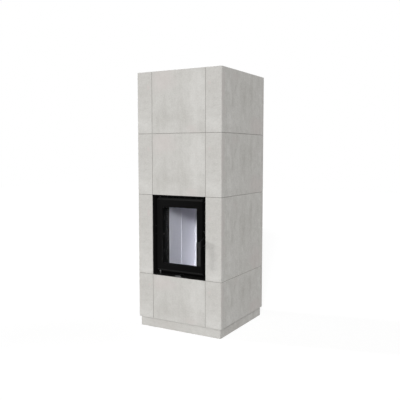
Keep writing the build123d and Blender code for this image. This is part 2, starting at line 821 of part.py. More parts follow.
with BuildPart() as frame_seal:
    with BuildSketch(upright(inner_front)):
        with Locations((0, frame_centre)):
            Rectangle(2 * pillar_x, frame_top - frame_bottom + 2 * frame_gap)
            Rectangle(2 * frame_half_width, frame_top - frame_bottom, mode=Mode.SUBTRACT)
    extrude(amount=tile_thickness - seal_recess)
frame_seal.part.label = "frame_seal"
export_step(frame_seal.part, "parts/frame_seal.step")

with BuildPart() as frame_screws:
    with BuildSketch(upright(flange_front)):
        with Locations(*screw_places):
            Circle(frame_screw_radius)
    extrude(amount=-frame_screw_length)
    with BuildSketch(upright(flange_front)):
        with Locations(*screw_places):
            Circle(frame_screw_head_radius - (frame_screw_hole_radius - frame_screw_radius))
    extrude(amount=-back_flange_thickness / 2)
frame_screws.part.label = "frame_screws"
export_step(frame_screws.part, "parts/frame_screws.step")

# ================================================================ hinge pins
washer_bottom = leaf_bottom - hinge_play - hinge_washer_height
with BuildPart() as hinge_pins:
    with BuildSketch(Plane.XY.offset(leaf_top - hinge_pin_reach)):
        with Locations((hinge_x, hinge_y)):
            Circle(hinge_pin_radius)
    extrude(amount=recess_top - leaf_top + hinge_pin_reach)
    with BuildSketch(Plane.XY.offset(recess_bottom)):
        with Locations((hinge_x, hinge_y)):
            Circle(hinge_pin_radius)
    extrude(amount=leaf_bottom - recess_bottom + hinge_pin_reach)
    with BuildSketch(Plane.XY.offset(recess_bottom)):
        with Locations((hinge_x, hinge_y)):
            Circle(hinge_shoulder_radius)
    extrude(amount=washer_bottom - recess_bottom)
hinge_pins.part.label = "hinge_pins"
export_step(hinge_pins.part, "parts/hinge_pins.step")

with BuildPart() as hinge_washer:
    with BuildSketch(Plane.XY.offset(washer_bottom)):
        with Locations((hinge_x, hinge_y)):
            Circle(hinge_washer_radius)
            Circle(hinge_hole_radius, mode=Mode.SUBTRACT)
    extrude(amount=hinge_washer_height)
hinge_washer.part.label = "hinge_washer"
export_step(hinge_washer.part, "parts/hinge_washer.step")

# ================================================================ door leaf
glass_half_width = opening_width / 2 + glass_overlap
glass_bottom = opening_bottom - glass_overlap
glass_top = opening_top + glass_overlap
glass_height = glass_top - glass_bottom
glass_front = leaf_back - glass_thickness
gasket_front = glass_front - glass_gasket_thickness

clip_shift = clip_width / 2 - clip_grip  # clip centre outside the glass edge
clip_screw_shift = clip_width - clip_grip - clip_screw_head_radius
side_clip_heights = (opening_centre - clip_pitch_side / 2, opening_centre + clip_pitch_side / 2)
end_clip_places = (-clip_pitch_end / 2, clip_pitch_end / 2)
side_clips = [
    (side * (glass_half_width + clip_shift), height) for side in (-1, 1) for height in side_clip_heights
]
end_clips = [(x, glass_bottom - clip_shift) for x in end_clip_places]
end_clips += [(x, glass_top + clip_shift) for x in end_clip_places]
clip_screw_places = [
    (side * (glass_half_width + clip_screw_shift), height) for side in (-1, 1) for height in side_clip_heights
]
clip_screw_places += [(x, glass_bottom - clip_screw_shift) for x in end_clip_places]
clip_screw_places += [(x, glass_top + clip_screw_shift) for x in end_clip_places]

with BuildPart() as door_leaf:
    with BuildSketch(upright(leaf_back)):
        with Locations((0, (leaf_bottom + leaf_top) / 2)):
            Rectangle(2 * leaf_half_width, leaf_top - leaf_bottom)
    extrude(amount=leaf_thickness)
    front_edges = door_leaf.faces().sort_by(Axis.Y)[0].edges().filter_by(Axis.X)
    chamfer(front_edges, leaf_chamfer)
    with BuildSketch(upright(leaf_back)):
        with Locations((0, opening_centre)):
            RectangleRounded(opening_width, opening_height, opening_radius)
    extrude(amount=leaf_thickness, mode=Mode.SUBTRACT)
    with BuildSketch(upright(leaf_back)):
        with Locations((0, opening_centre)):
            Rectangle(2 * (glass_half_width + glass_edge_gap), glass_height + 2 * glass_edge_gap)
    extrude(amount=leaf_back - gasket_front, mode=Mode.SUBTRACT)
    with BuildSketch(upright(leaf_back)):
        with Locations(*clip_screw_places):
            Circle(clip_screw_hole_radius)
    extrude(amount=clip_screw_length, mode=Mode.SUBTRACT)
    for hole_start, hole_length in (
        (leaf_top, -(hinge_pin_reach + hinge_play)),
        (leaf_bottom, hinge_pin_reach + hinge_play),
    ):
        with BuildSketch(Plane.XY.offset(hole_start)):
            with Locations((hinge_x, hinge_y)):
                Circle(hinge_hole_radius)
        extrude(amount=hole_length, mode=Mode.SUBTRACT)
door_leaf.part.label = "door_leaf"
export_step(door_leaf.part, "parts/door_leaf.step")

with BuildPart() as glass_gasket:
    with BuildSketch(upright(glass_front)):
        with Locations((0, opening_centre)):
            Rectangle(2 * glass_half_width, glass_height)
            Rectangle(
                2 * (glass_half_width - glass_gasket_width),
                glass_height - 2 * glass_gasket_width,
                mode=Mode.SUBTRACT,
            )
    extrude(amount=glass_gasket_thickness)
glass_gasket.part.label = "glass_gasket"
export_step(glass_gasket.part, "parts/glass_gasket.step")

with BuildPart() as door_glass:
    with BuildSketch(upright(leaf_back)):
        with Locations((0, opening_centre)):
            Rectangle(2 * glass_half_width, glass_height)
    extrude(amount=glass_thickness)
door_glass.part.label = "door_glass"
export_step(door_glass.part, "parts/door_glass.step")

with BuildPart() as glass_clips:
    with BuildSketch(upright(leaf_back)):
        with Locations(*side_clips):
            Rectangle(clip_width, clip_length)
        with Locations(*end_clips):
            Rectangle(clip_length, clip_width)
        with Locations(*clip_screw_places):
            Circle(clip_screw_hole_radius, mode=Mode.SUBTRACT)
    extrude(amount=-clip_thickness)
glass_clips.part.label = "glass_clips"
export_step(glass_clips.part, "parts/glass_clips.step")

clip_back = leaf_back + clip_thickness
with BuildPart() as clip_screws:
    with BuildSketch(upright(clip_back)):
        with Locations(*clip_screw_places):
            Circle(clip_screw_radius)
    extrude(amount=clip_screw_length)
    with BuildSketch(upright(clip_back)):
        with Locations(*clip_screw_places):
            Circle(clip_screw_head_radius)
    extrude(amount=-clip_screw_head_height)
clip_screws.part.label = "clip_screws"
export_step(clip_screws.part, "parts/clip_screws.step")

rope_half_width = opening_width / 2 + rope_side_margin
rope_bottom = opening_bottom - rope_bottom_margin
rope_top = opening_top + rope_top_margin
with BuildPart() as door_rope:
    with BuildSketch(upright(leaf_back)):
        with Locations((0, (rope_bottom + rope_top) / 2)):
            RectangleRounded(
                2 * (rope_half_width + rope_width),
                rope_top - rope_bottom + 2 * rope_width,
                rope_corner_radius,
            )
            RectangleRounded(
                2 * rope_half_width,
                rope_top - rope_bottom,
                rope_corner_radius - rope_width,
                mode=Mode.SUBTRACT,
            )
    extrude(amount=-rope_thickness)
door_rope.part.label = "door_rope"
export_step(door_rope.part, "parts/door_rope.step")

# ================================================================ handle, its pin and latch
grip_low = leaf_bottom + grip_bottom
grip_high = grip_low + grip_height
grip_front = leaf_front - handle_projection
grip_back = grip_front + handle_plate_thickness
plate_outer = handle_x + handle_plate_thickness / 2
plate_inner = handle_x - handle_plate_thickness / 2
grip_inner = plate_outer - handle_width
arm_low = grip_high - arm_height
arm_top = grip_high + grip_slope
knuckle_high = arm_top + arm_rise
knuckle_low = knuckle_high - knuckle_height
tongue_high = knuckle_low
tongue_low = tongue_high - tongue_thickness
arm_back = handle_y - tongue_eye_radius - knuckle_gap

with BuildPart() as handle:
    with BuildSketch(Plane.YZ.offset(plate_inner)):
        Polygon(
            (grip_front, arm_low),
            (front, arm_low),
            (arm_back, knuckle_low),
            (arm_back, knuckle_high),
            (grip_front, arm_top),
            align=None,
        )
    extrude(amount=handle_plate_thickness)
    with BuildSketch(upright(grip_back)):
        Polygon(
            (grip_inner, grip_low),
            (plate_outer, grip_low),
            (plate_outer, arm_top),
            (plate_inner, arm_top),
            (plate_outer - grip_shoulder_width, grip_high),
            (grip_inner, grip_high),
            align=None,
        )
    extrude(amount=handle_plate_thickness)
    bend = handle.edges().filter_by(Axis.Z).group_by(Axis.Y)[0].sort_by(Axis.X)[-1]
    fillet(bend, handle_bend_radius)
    with BuildSketch(Plane.XY.offset(grip_low)):
        Polygon(
            (grip_inner, grip_front),
            (grip_inner + grip_bevel_width, grip_front),
            (grip_inner, grip_front + grip_bevel),
            align=None,
        )
    extrude(amount=arm_low - grip_low, mode=Mode.SUBTRACT)
    with BuildSketch(Plane.XY.offset(knuckle_low)):
        box_plan(plate_inner, plate_outer, arm_back, handle_y)
        with Locations((handle_x, handle_y)):
            Circle(handle_barrel_radius)
            Circle(handle_bore_radius, mode=Mode.SUBTRACT)
    extrude(amount=knuckle_height)
handle.part.label = "handle"
export_step(handle.part, "parts/handle.step")

with BuildPart() as latch_tongue:
    with BuildSketch(Plane.XY.offset(tongue_low)):
        arm_left = handle_x - tongue_arm_width / 2
        nose_right = handle_x + tongue_nose
        tip = handle_y + tongue_reach
        box_plan(arm_left, arm_left + tongue_arm_width, handle_y, tip)
        box_plan(arm_left, nose_right, tip - tongue_nose_depth, tip)
        with Locations((handle_x, handle_y)):
            Circle(tongue_eye_radius)
            Circle(handle_bore_radius, mode=Mode.SUBTRACT)
    extrude(amount=tongue_thickness)
latch_tongue.part.label = "latch_tongue"
export_step(latch_tongue.part, "parts/latch_tongue.step")

lower_lug_low = tongue_low - knuckle_gap - lower_lug_height
upper_lug_low = knuckle_high + knuckle_gap
with BuildPart() as handle_lugs:
    for lug_low, lug_height in ((lower_lug_low, lower_lug_height), (upper_lug_low, upper_lug_height)):
        with BuildSketch(Plane.XY.offset(lug_low)):
            box_plan(
                leaf_half_width,
                leaf_half_width + lug_width,
                handle_y - lug_depth / 2,
                handle_y + lug_depth / 2,
            )
            with Locations((handle_x, handle_y)):
                Circle(handle_pin_radius, mode=Mode.SUBTRACT)
        extrude(amount=lug_height)
handle_lugs.part.label = "handle_lugs"
export_step(handle_lugs.part, "parts/handle_lugs.step")

pin_low = lower_lug_low - handle_pin_overhang
pin_high = upper_lug_low + upper_lug_height + handle_pin_overhang
with BuildPart() as handle_pin:
    with BuildSketch(Plane.XY.offset(pin_low)):
        with Locations((handle_x, handle_y)):
            Circle(handle_pin_radius)
    extrude(amount=pin_high - pin_low)
handle_pin.part.label = "handle_pin"
export_step(handle_pin.part, "parts/handle_pin.step")

keeper_left = handle_x + tongue_nose + keeper_clearance
keeper_low = (tongue_low + tongue_high - keeper_height) / 2
with BuildPart() as latch_keeper:
    with BuildSketch(Plane.XY.offset(keeper_low)):
        box_plan(keeper_left, recess_half_width, flange_front - keeper_depth, flange_front)
    extrude(amount=keeper_height)
latch_keeper.part.label = "latch_keeper"
export_step(latch_keeper.part, "parts/latch_keeper.step")

# ================================================================ places for the record
print("body height", body_height)
print("centre tile", centre_tile_width, "door row", door_row_height, "ring height", ring_height)
print("hinge axis", hinge_x, hinge_y)
print("handle axis", handle_x, handle_y)
print("flue", riser_y, flue_height, "collar from", collar_front, "to", rear_end)
print("duct from", air_box_back, "to", rear_end, "at", duct_height)
print("fire space x", fire_width / 2 - lining_step, "y", flange_front, back_board_front)
print("fire space z", lining_floor_top + lip_height, "to", min(throat_top, lining_top))
print("lever z", stem_bottom - lever_drop, stem_bottom + stem_thickness, "recess floor", recess_bottom)
print("firebox front", firebox_front, "lining front", lining_front, "firebox back", firebox_back)
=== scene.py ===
import json
import math

import bmesh
import bpy
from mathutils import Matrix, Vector


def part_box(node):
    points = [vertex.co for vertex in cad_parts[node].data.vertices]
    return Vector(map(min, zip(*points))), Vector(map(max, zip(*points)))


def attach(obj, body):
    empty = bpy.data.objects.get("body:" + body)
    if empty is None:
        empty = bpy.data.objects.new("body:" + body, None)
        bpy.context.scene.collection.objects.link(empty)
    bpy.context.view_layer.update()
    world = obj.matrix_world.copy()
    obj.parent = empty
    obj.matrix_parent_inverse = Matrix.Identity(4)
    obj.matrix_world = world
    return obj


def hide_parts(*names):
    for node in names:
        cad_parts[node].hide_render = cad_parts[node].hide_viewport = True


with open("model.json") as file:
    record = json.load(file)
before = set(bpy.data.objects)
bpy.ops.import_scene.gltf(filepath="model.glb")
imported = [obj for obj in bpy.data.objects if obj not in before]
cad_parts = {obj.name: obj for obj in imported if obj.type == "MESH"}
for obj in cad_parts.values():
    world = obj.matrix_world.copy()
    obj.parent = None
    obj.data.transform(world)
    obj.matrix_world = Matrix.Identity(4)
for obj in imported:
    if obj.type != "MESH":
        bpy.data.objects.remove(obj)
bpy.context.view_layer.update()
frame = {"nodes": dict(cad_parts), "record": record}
print("frame loaded:", len(frame["nodes"]), "nodes")

slotOfNode = {part["node"]: part["material_slot"] for part in frame["record"]["subparts"]}
bodies = frame["record"]["behaviour"]["bodies"]
bodyOfNode = {node: body for body, nodes in bodies.items() for node in nodes}


# small helpers for node trees

def feed(tree, node, inputs):
    # an input's value may be a number, a vector or another node's socket
    for name, value in inputs.items():
        if isinstance(value, bpy.types.NodeSocket):
            tree.links.new(value, node.inputs[name])
        else:
            node.inputs[name].default_value = value
    return node


def put(tree, kind, inputs=None, **settings):
    node = tree.nodes.new(kind)
    for name, value in settings.items():
        setattr(node, name, value)
    return feed(tree, node, inputs or {})


def outOf(tree, kind, inputs=None, **settings):
    # the first output of a new node
    return put(tree, kind, inputs, **settings).outputs[0]


def place(tree, group, inputs):
    return put(tree, "ShaderNodeGroup", inputs, node_tree=group).outputs


def calc(tree, operation, first, second=None, clamp=False):
    inputs = {0: first} if second is None else {0: first, 1: second}
    return outOf(tree, "ShaderNodeMath", inputs, operation=operation, use_clamp=clamp)


def plus(tree, first, second):
    return calc(tree, "ADD", first, second)


def minus(tree, first, second, clamp=False):
    return calc(tree, "SUBTRACT", first, second, clamp)


def times(tree, first, second, clamp=False):
    return calc(tree, "MULTIPLY", first, second, clamp)


def divided(tree, first, second, clamp=False):
    return calc(tree, "DIVIDE", first, second, clamp)


def calcVector(tree, operation, first, second):
    return outOf(tree, "ShaderNodeVectorMath", {0: first, 1: second}, operation=operation)


def scaled(tree, first, factor):
    return outOf(tree, "ShaderNodeVectorMath", {0: first, "Scale": factor}, operation="SCALE")


def split(tree, value):
    return put(tree, "ShaderNodeSeparateXYZ", {0: value}).outputs


def spread(tree, value, low, high, newLow=0.0, newHigh=1.0, smooth=False):
    ends = {"Value": value, "From Min": low, "From Max": high, "To Min": newLow, "To Max": newHigh}
    return outOf(tree, "ShaderNodeMapRange", ends, interpolation_type="SMOOTHSTEP" if smooth else "LINEAR")


def noise(tree, where, scale, detail, roughness=0.5, output=0):
    values = {"Vector": where, "Scale": scale, "Detail": detail, "Roughness": roughness}
    return put(tree, "ShaderNodeTexNoise", values).outputs[output]


noiseReach = (0.3, 0.7)  # most of a noise texture's values lie between these


def spreadNoise(tree, value, newLow=0.0, newHigh=1.0):
    return spread(tree, value, *noiseReach, newLow, newHigh)


def blended(tree, first, second, share):
    # two noises, spread over 0 to 1 together, of which the share is the first's
    return plus(tree, spreadNoise(tree, first, 0.0, share), spreadNoise(tree, second, 0.0, 1.0 - share))


def mixColours(tree, share, first, second):
    return put(tree, "ShaderNodeMix", {0: share, 6: first, 7: second}, data_type="RGBA").outputs[2]


def shade(level, tint=(1.0, 1.0, 1.0)):
    return (level * tint[0], level * tint[1], level * tint[2], 1.0)


socketKinds = {
    float: "NodeSocketFloat",
    int: "NodeSocketInt",
    tuple: "NodeSocketVector",
    type(None): "NodeSocketMaterial",
}


def newGroup(name, inputs, outputs, kind="ShaderNodeTree"):
    # an input's kind follows from its first value
    group = bpy.data.node_groups.new(name, kind)
    for socketName, value in inputs.items():
        socketKind = socketKinds[type(value)]
        socket = group.interface.new_socket(name=socketName, in_out="INPUT", socket_type=socketKind)
        if value is not None:
            socket.default_value = value
    socketKind = "NodeSocketFloat" if kind == "ShaderNodeTree" else "NodeSocketGeometry"
    for socketName in outputs:
        group.interface.new_socket(name=socketName, in_out="OUTPUT", socket_type=socketKind)
    return group, group.nodes.new("NodeGroupInput").outputs, group.nodes.new("NodeGroupOutput")


def newMaterial(name, metallic=0.0, specular=0.5):
    material = bpy.data.materials.new(name)
    material.use_nodes = True
    tree = material.node_tree
    tree.nodes.clear()
    values = {"Metallic": metallic, "Specular IOR Level": specular}
    shader = put(tree, "ShaderNodeBsdfPrincipled", values)
    output = put(tree, "ShaderNodeOutputMaterial", {"Surface": shader.outputs["BSDF"]})
    coordinates = put(tree, "ShaderNodeTexCoord").outputs["Object"]
    return material, tree, shader, coordinates, output


def wire(tree, shader, colour, roughness, height, look):
    bump = {"Height": height, "Strength": look["bump"], "Distance": look["relief"]}
    normal = put(tree, "ShaderNodeBump", bump).outputs["Normal"]
    feed(tree, shader, {"Base Color": colour, "Roughness": roughness, "Normal": normal})


# shader node groups that several finishes share

patchCore = 0.15  # share of a patch's reach that is full


def buildSoftPatch():
    # a soft oval patch on a tile face, in shares of the tile's width and height
    group, given, result = newGroup(
        "softPatch",
        {
            "Across": 0.5,
            "Up": 0.5,
            "Centre across": 0.5,
            "Centre up": 0.5,
            "Reach across": 0.3,
            "Reach up": 0.3,
        },
        ["Mask"],
    )
    side = divided(group, minus(group, given["Across"], given["Centre across"]), given["Reach across"])
    rise = divided(group, minus(group, given["Up"], given["Centre up"]), given["Reach up"])
    away = calc(group, "SQRT", plus(group, times(group, side, side), times(group, rise, rise)))
    feed(group, result, {"Mask": spread(group, away, patchCore, 1.0, 1.0, 0.0, smooth=True)})
    return group


# noises as detail, roughness and distortion; pores in shares of their cell; weights of the relief
mottleShape = {
    "cloud": (5.0, 0.62, 0.4),
    "streak": (4.0, 0.6, 0.2),
    "cellsWithPores": (0.45, 1.0),
    "widestPore": 0.09,
    "poreRim": 0.03,
    "cloudHeight": 0.6,
    "grainHeight": 0.6,
    "poreDepth": 1.2,
}


def buildMottling():
    # clouds, streaks, fine grain and open pores of a cast surface, in metres and streaks per metre
    group, given, result = newGroup(
        "mottling",
        {
            "Place": (0.0, 0.0, 0.0),
            "Cloud size": 0.05,
            "Grain size": 0.003,
            "Pore spacing": 0.012,
            "Streak counts": (34.0, 34.0, 3.2),
            "Seed": 0.0,
        },
        ["Cloud", "Streak", "Grain", "Pores", "Height"],
    )

    def seededNoise(where, scale, shape):
        values = {"Vector": where, "W": given["Seed"], "Scale": scale}
        values.update(zip(("Detail", "Roughness", "Distortion"), shape))
        return outOf(group, "ShaderNodeTexNoise", values, noise_dimensions="4D")

    cloudScale = divided(group, 1.0, given["Cloud size"])
    cloud = seededNoise(given["Place"], cloudScale, mottleShape["cloud"])
    stretched = calcVector(group, "MULTIPLY", given["Place"], given["Streak counts"])
    streak = seededNoise(stretched, 1.0, mottleShape["streak"])
    grainScale = divided(group, 1.0, given["Grain size"])
    grain = noise(group, given["Place"], grainScale, detail=3.0, roughness=0.7)
    poreScale = divided(group, 1.0, given["Pore spacing"])
    cells = put(group, "ShaderNodeTexVoronoi", {"Vector": given["Place"], "Scale": poreScale}).outputs
    chance = outOf(group, "ShaderNodeSeparateColor", {0: cells["Color"]})
    poreSize = spread(group, chance, *mottleShape["cellsWithPores"], 0.0, mottleShape["widestPore"])
    pores = divided(group, minus(group, poreSize, cells["Distance"]), mottleShape["poreRim"], clamp=True)
    grainRise = times(group, grain, mottleShape["grainHeight"])
    raised = plus(group, grainRise, times(group, cloud, mottleShape["cloudHeight"]))
    height = minus(group, raised, times(group, pores, mottleShape["poreDepth"]))
    feed(group, result, {"Cloud": cloud, "Streak": streak, "Grain": grain, "Pores": pores, "Height": height})
    return group


def sizesOf(look):
    return {
        "Cloud size": look["cloudSize"],
        "Grain size": look["grainSize"],
        "Pore spacing": look["poreSpacing"],
        "Seed": look["seed"],
    }


# how far a rounded normal leans from the plain one, as cosines, and the noise between worn and whole
edgeShape = {"leaning": (0.995, 0.86), "gaps": (0.35, 0.62)}


def buildEdgeWear():
    # 1 along edges and 0 on open faces, broken up by noise
    group, given, result = newGroup(
        "edgeWear", {"Place": (0.0, 0.0, 0.0), "Reach": 0.0015, "Breakup size": 0.01}, ["Edge"]
    )
    rounded = put(group, "ShaderNodeBevel", {"Radius": given["Reach"]}, samples=6).outputs["Normal"]
    plain = put(group, "ShaderNodeNewGeometry").outputs["Normal"]
    facing = put(group, "ShaderNodeVectorMath", {0: rounded, 1: plain}, operation="DOT_PRODUCT")
    edge = spread(group, facing.outputs["Value"], *edgeShape["leaning"])
    gapScale = divided(group, 1.0, given["Breakup size"])
    gaps = noise(group, given["Place"], gapScale, detail=4.0, roughness=0.65)
    edge = times(group, edge, spread(group, gaps, *edgeShape["gaps"]), clamp=True)
    feed(group, result, {"Edge": edge})
    return group


dustShape = {"lookingUp": (0.25, 0.95), "thinnest": 0.35}


def buildDust():
    # fine dust that settles on faces that look up, thicker in patches
    group, given, result = newGroup("settledDust", {"Place": (0.0, 0.0, 0.0), "Patch size": 0.05}, ["Dust"])
    rise = split(group, put(group, "ShaderNodeNewGeometry").outputs["Normal"])[2]
    patchScale = divided(group, 1.0, given["Patch size"])
    patches = noise(group, given["Place"], patchScale, detail=6.0, roughness=0.7)
    thickness = spreadNoise(group, patches, dustShape["thinnest"], 1.0)
    feed(group, result, {"Dust": times(group, spread(group, rise, *dustShape["lookingUp"]), thickness)})
    return group


softPatch = buildSoftPatch()
mottling = buildMottling()
edgeWear = buildEdgeWear()
settledDust = buildDust()
print("shader groups built")


def withWear(tree, colour, where, look):
    # edges rubbed to another colour
    values = {"Place": where, "Reach": look["wearReach"], "Breakup size": look["wearBreakup"]}
    worn = times(tree, place(tree, edgeWear, values)["Edge"], look["wear"])
    return mixColours(tree, worn, colour, look["wornColour"])


# cast stone tiles

castStone = {
    "light": (0.662, 0.652, 0.627),
    "dark": (0.480, 0.468, 0.440),
    "rose": (0.600, 0.546, 0.528),
    "specular": 0.25,
    "roughness": (0.74, 0.88),
    "cloudSize": 0.055, "grainSize": 0.0085, "poreSpacing": 0.016,
    "uprightStreaks": (34.0, 34.0, 3.2),
    "levelWisps": (12.0, 12.0, 42.0),
    "cloudShare": 0.85, "streakShare": 0.60, "grainShare": 1.10, "poreShare": 0.55, "roseShare": 0.8,
    "sideFacing": (0.35, 0.85),
    "sideContrast": 1.45,
    "unevenScale": 11.0, "unevenReach": 0.28,
    "wearReach": 0.002, "wearBreakup": 0.008, "wear": 0.35,
    "wornColour": shade(0.66, (1.0, 0.985, 0.95)),
    "bump": 0.25, "relief": 0.0006,
}

# (across, up, reach across, reach up, lighter or darker, rosier), in shares of a tile face
centreFacePatches = (
    (0.22, 0.84, 0.36, 0.26, 0.04, 0.55),
    (0.24, 0.27, 0.26, 0.30, -0.20, 0.0),
    (0.56, 0.30, 0.20, 0.26, -0.20, 0.0),
    (0.575, 0.53, 0.035, 0.13, -0.16, 0.0),
    (0.86, 0.62, 0.26, 0.62, 0.24, 0.0),
    (0.74, 0.07, 0.20, 0.10, 0.02, 0.40),
)
pillarFacePatches = (
    (0.50, 0.70, 0.90, 0.38, -0.10, 0.05),
    (0.24, 0.76, 0.14, 0.05, -0.06, 0.80),
    (0.50, 0.385, 0.75, 0.035, -0.16, 0.0),
    (0.50, 0.10, 0.90, 0.22, 0.22, 0.0),
)
sideFacePatches = (
    (0.17, 0.72, 0.06, 0.34, 0.22, 0.0),
    (0.47, 0.62, 0.10, 0.34, -0.28, 0.0),
    (0.68, 0.72, 0.09, 0.26, -0.30, 0.0),
    (0.82, 0.14, 0.26, 0.24, -0.06, 0.55),
    (0.02, 0.60, 0.06, 0.60, 0.0, 0.45),
    (0.20, 0.18, 0.24, 0.26, 0.16, 0.0),
    (0.31, 0.88, 0.09, 0.12, -0.02, 0.30),
)
coverPatches = ((0.3, 0.5, 0.5, 3.0, -0.1, 0.1),)
plinthPatches = (
    (0.08, 0.6, 0.10, 0.6, 0.08, 0.0),
    (0.34, 0.5, 0.30, 0.9, -0.12, 0.15),
    (0.80, 0.5, 0.30, 0.9, 0.12, 0.0),
)


def patchSums(tree, across, up, patches):
    tone, rose = 0.0, 0.0
    shape = ("Centre across", "Centre up", "Reach across", "Reach up")
    for *sizes, lighter, rosier in patches:
        mask = place(tree, softPatch, {"Across": across, "Up": up, **dict(zip(shape, sizes))})["Mask"]
        if lighter:
            tone = plus(tree, times(tree, mask, lighter), tone)
        if rosier:
            rose = plus(tree, times(tree, mask, rosier), rose)
    return tone, rose


def between(tree, share, first, second):
    return plus(tree, times(tree, second, share), times(tree, first, minus(tree, 1.0, share)))


def stoneMaterial(name, lowCorner, highCorner, frontPatches, sidePatches=None, seed=0.0, level=1.0):
    # across counts from the first corner to the second, so they may be swapped in x
    material, tree, shader, coordinates, _ = newMaterial(name, specular=castStone["specular"])
    size = [highCorner[axis] - lowCorner[axis] for axis in range(3)]
    toCorner = [-lowCorner[axis] / size[axis] for axis in range(3)]
    shares = {"Vector": coordinates, "Location": toCorner, "Scale": [1.0 / length for length in size]}
    onTile = outOf(tree, "ShaderNodeMapping", shares)
    toMiddle = [-(lowCorner[axis] + highCorner[axis]) / 2 for axis in range(3)]
    centred = calcVector(tree, "ADD", coordinates, toMiddle)
    lateral = calc(tree, "ABSOLUTE", split(tree, put(tree, "ShaderNodeNewGeometry").outputs["Normal"])[0])
    onSide = spread(tree, lateral, *castStone["sideFacing"])
    streaks = castStone["uprightStreaks"]
    if sidePatches:
        # narrow front faces carry level wisps, wide faces carry upright streaks
        counts = {0: onSide, 4: castStone["levelWisps"], 5: castStone["uprightStreaks"]}
        streaks = put(tree, "ShaderNodeMix", counts, data_type="VECTOR").outputs[1]
    sizes = sizesOf({**castStone, "seed": seed})
    surface = place(tree, mottling, {"Place": centred, "Streak counts": streaks, **sizes})
    # the patches' outlines are made uneven
    uneven = noise(tree, centred, castStone["unevenScale"], detail=4.0, roughness=0.6, output="Color")
    uneven = scaled(tree, calcVector(tree, "ADD", uneven, (-0.5, -0.5, -0.5)), castStone["unevenReach"])
    alongX, alongY, alongZ = split(tree, calcVector(tree, "ADD", onTile, uneven))
    tone, rose = patchSums(tree, alongX, alongZ, frontPatches)
    if sidePatches:
        sideTone, sideRose = patchSums(tree, alongY, alongZ, sidePatches)
        tone = between(tree, onSide, tone, sideTone)
        rose = between(tree, onSide, rose, sideRose)
    contrast = spread(tree, onSide, 0.0, 1.0, 1.0, castStone["sideContrast"])
    for output, share in (("Cloud", "cloudShare"), ("Streak", "streakShare"), ("Grain", "grainShare")):
        swing = times(tree, minus(tree, surface[output], 0.5), castStone[share])
        tone = plus(tree, tone, times(tree, swing, contrast))
    pores = times(tree, surface["Pores"], castStone["poreShare"])
    tone = minus(tree, plus(tree, tone, 0.5), pores, clamp=True)
    colour = mixColours(tree, tone, shade(level, castStone["dark"]), shade(level, castStone["light"]))
    rosy = times(tree, rose, castStone["roseShare"], clamp=True)
    colour = mixColours(tree, rosy, colour, shade(level, castStone["rose"]))
    colour = withWear(tree, colour, centred, castStone)
    roughness = spreadNoise(tree, surface["Grain"], *castStone["roughness"])
    wire(tree, shader, colour, roughness, surface["Height"], castStone)
    return material


def dress(nodeName, material):
    data = frame["nodes"][nodeName].data
    data.materials.clear()
    data.materials.append(material)
    for polygon in data.polygons:
        polygon.material_index = 0


def dressStone(node, patches, sidePatches=None, seed=0.0, level=1.0):
    low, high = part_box(node)
    if high.x < 0:
        # the left corner tiles mirror the right ones
        low, high = (high.x, low.y, low.z), (low.x, high.y, high.z)
    dress(node, stoneMaterial("stone_" + node, low, high, patches, sidePatches, seed, level))


stoneSeeds = {"corner": 2.0, "centre": 5.0, "back": 7.0, "cover": 9.0, "plinth": 11.0}
# the plinth's stone is a little darker: painted shade near the floor
plinthShadeLevel = 0.985
for row in ("bottom", "door", "middle", "top"):
    for hand in ("left", "right"):
        node = f"corner_tile_{row}_{hand}"
        dressStone(node, pillarFacePatches, sideFacePatches, stoneSeeds["corner"])
    if row != "door":
        dressStone(f"centre_tile_{row}", centreFacePatches, seed=stoneSeeds["centre"])
    dressStone(f"back_tile_{row}", centreFacePatches, seed=stoneSeeds["back"])
dressStone("cover_slab", coverPatches, seed=stoneSeeds["cover"])
for index, node in enumerate(("plinth_front", "plinth_back", "plinth_sides")):
    dressStone(node, plinthPatches, plinthPatches, stoneSeeds["plinth"] + index, plinthShadeLevel)
print("stone tiles dressed")


# mortar, lining and concrete

sideLow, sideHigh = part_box("lining_front_boards")
fireDepth = (sideLow.y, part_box("lining_back_board")[0].y)
# over this height under the baffle the painted shade fades out: painted light on the shadowed top of the
# boards
paintedLightHeight = 0.075
paintedLightRange = (sideHigh.z - paintedLightHeight, sideHigh.z)
boardGrain = {
    "cloudSize": 0.05, "grainSize": 0.0035, "poreSpacing": 0.009,
    "cloudShare": 0.45,
    "bump": 0.3, "relief": 0.0006,
}
grainyLooks = {
    "mortar": {
        "name": "rawMortar",
        "base": (0.36, 0.35, 0.33),
        "deep": (0.25, 0.24, 0.225),
        "cloudSize": 0.03, "grainSize": 0.0012, "poreSpacing": 0.005,
        "seed": 1.0,
        "cloudShare": 0.4,
        "bump": 0.8, "relief": 0.0008,
    },
    "fire_lining": {
        **boardGrain,
        "name": "refractoryBoard",
        "base": (0.895, 0.885, 0.965),
        "deep": (0.800, 0.790, 0.865),
        "seed": 3.0,
        # shares of painted shade at the door, at the back and at the top
        "paintedShadeAtDoor": 0.37, "paintedShadeAtBack": 0.03, "paintedShadeShareAtTop": 0.0,
    },
    # a darker copy of the lining's board on the back board: painted shade where the front lamp falls full on
    # it
    "back_board": {
        **boardGrain,
        "name": "refractoryBackBoardPaintedShade",
        "base": (0.715, 0.715, 0.755),
        "deep": (0.650, 0.650, 0.690),
        "seed": 6.0,
    },
    "storage_concrete": {
        "name": "storageConcrete",
        "base": (0.44, 0.42, 0.39),
        "deep": (0.31, 0.295, 0.27),
        "cloudSize": 0.08, "grainSize": 0.004, "poreSpacing": 0.02,
        "seed": 4.0,
        "cloudShare": 0.6,
        "bump": 0.7, "relief": 0.0015,
    },
}
grainyShared = {"specular": 0.2, "poreShare": 0.6, "roughness": (0.8, 0.95), "paintedShadeColour": shade(0.02)}


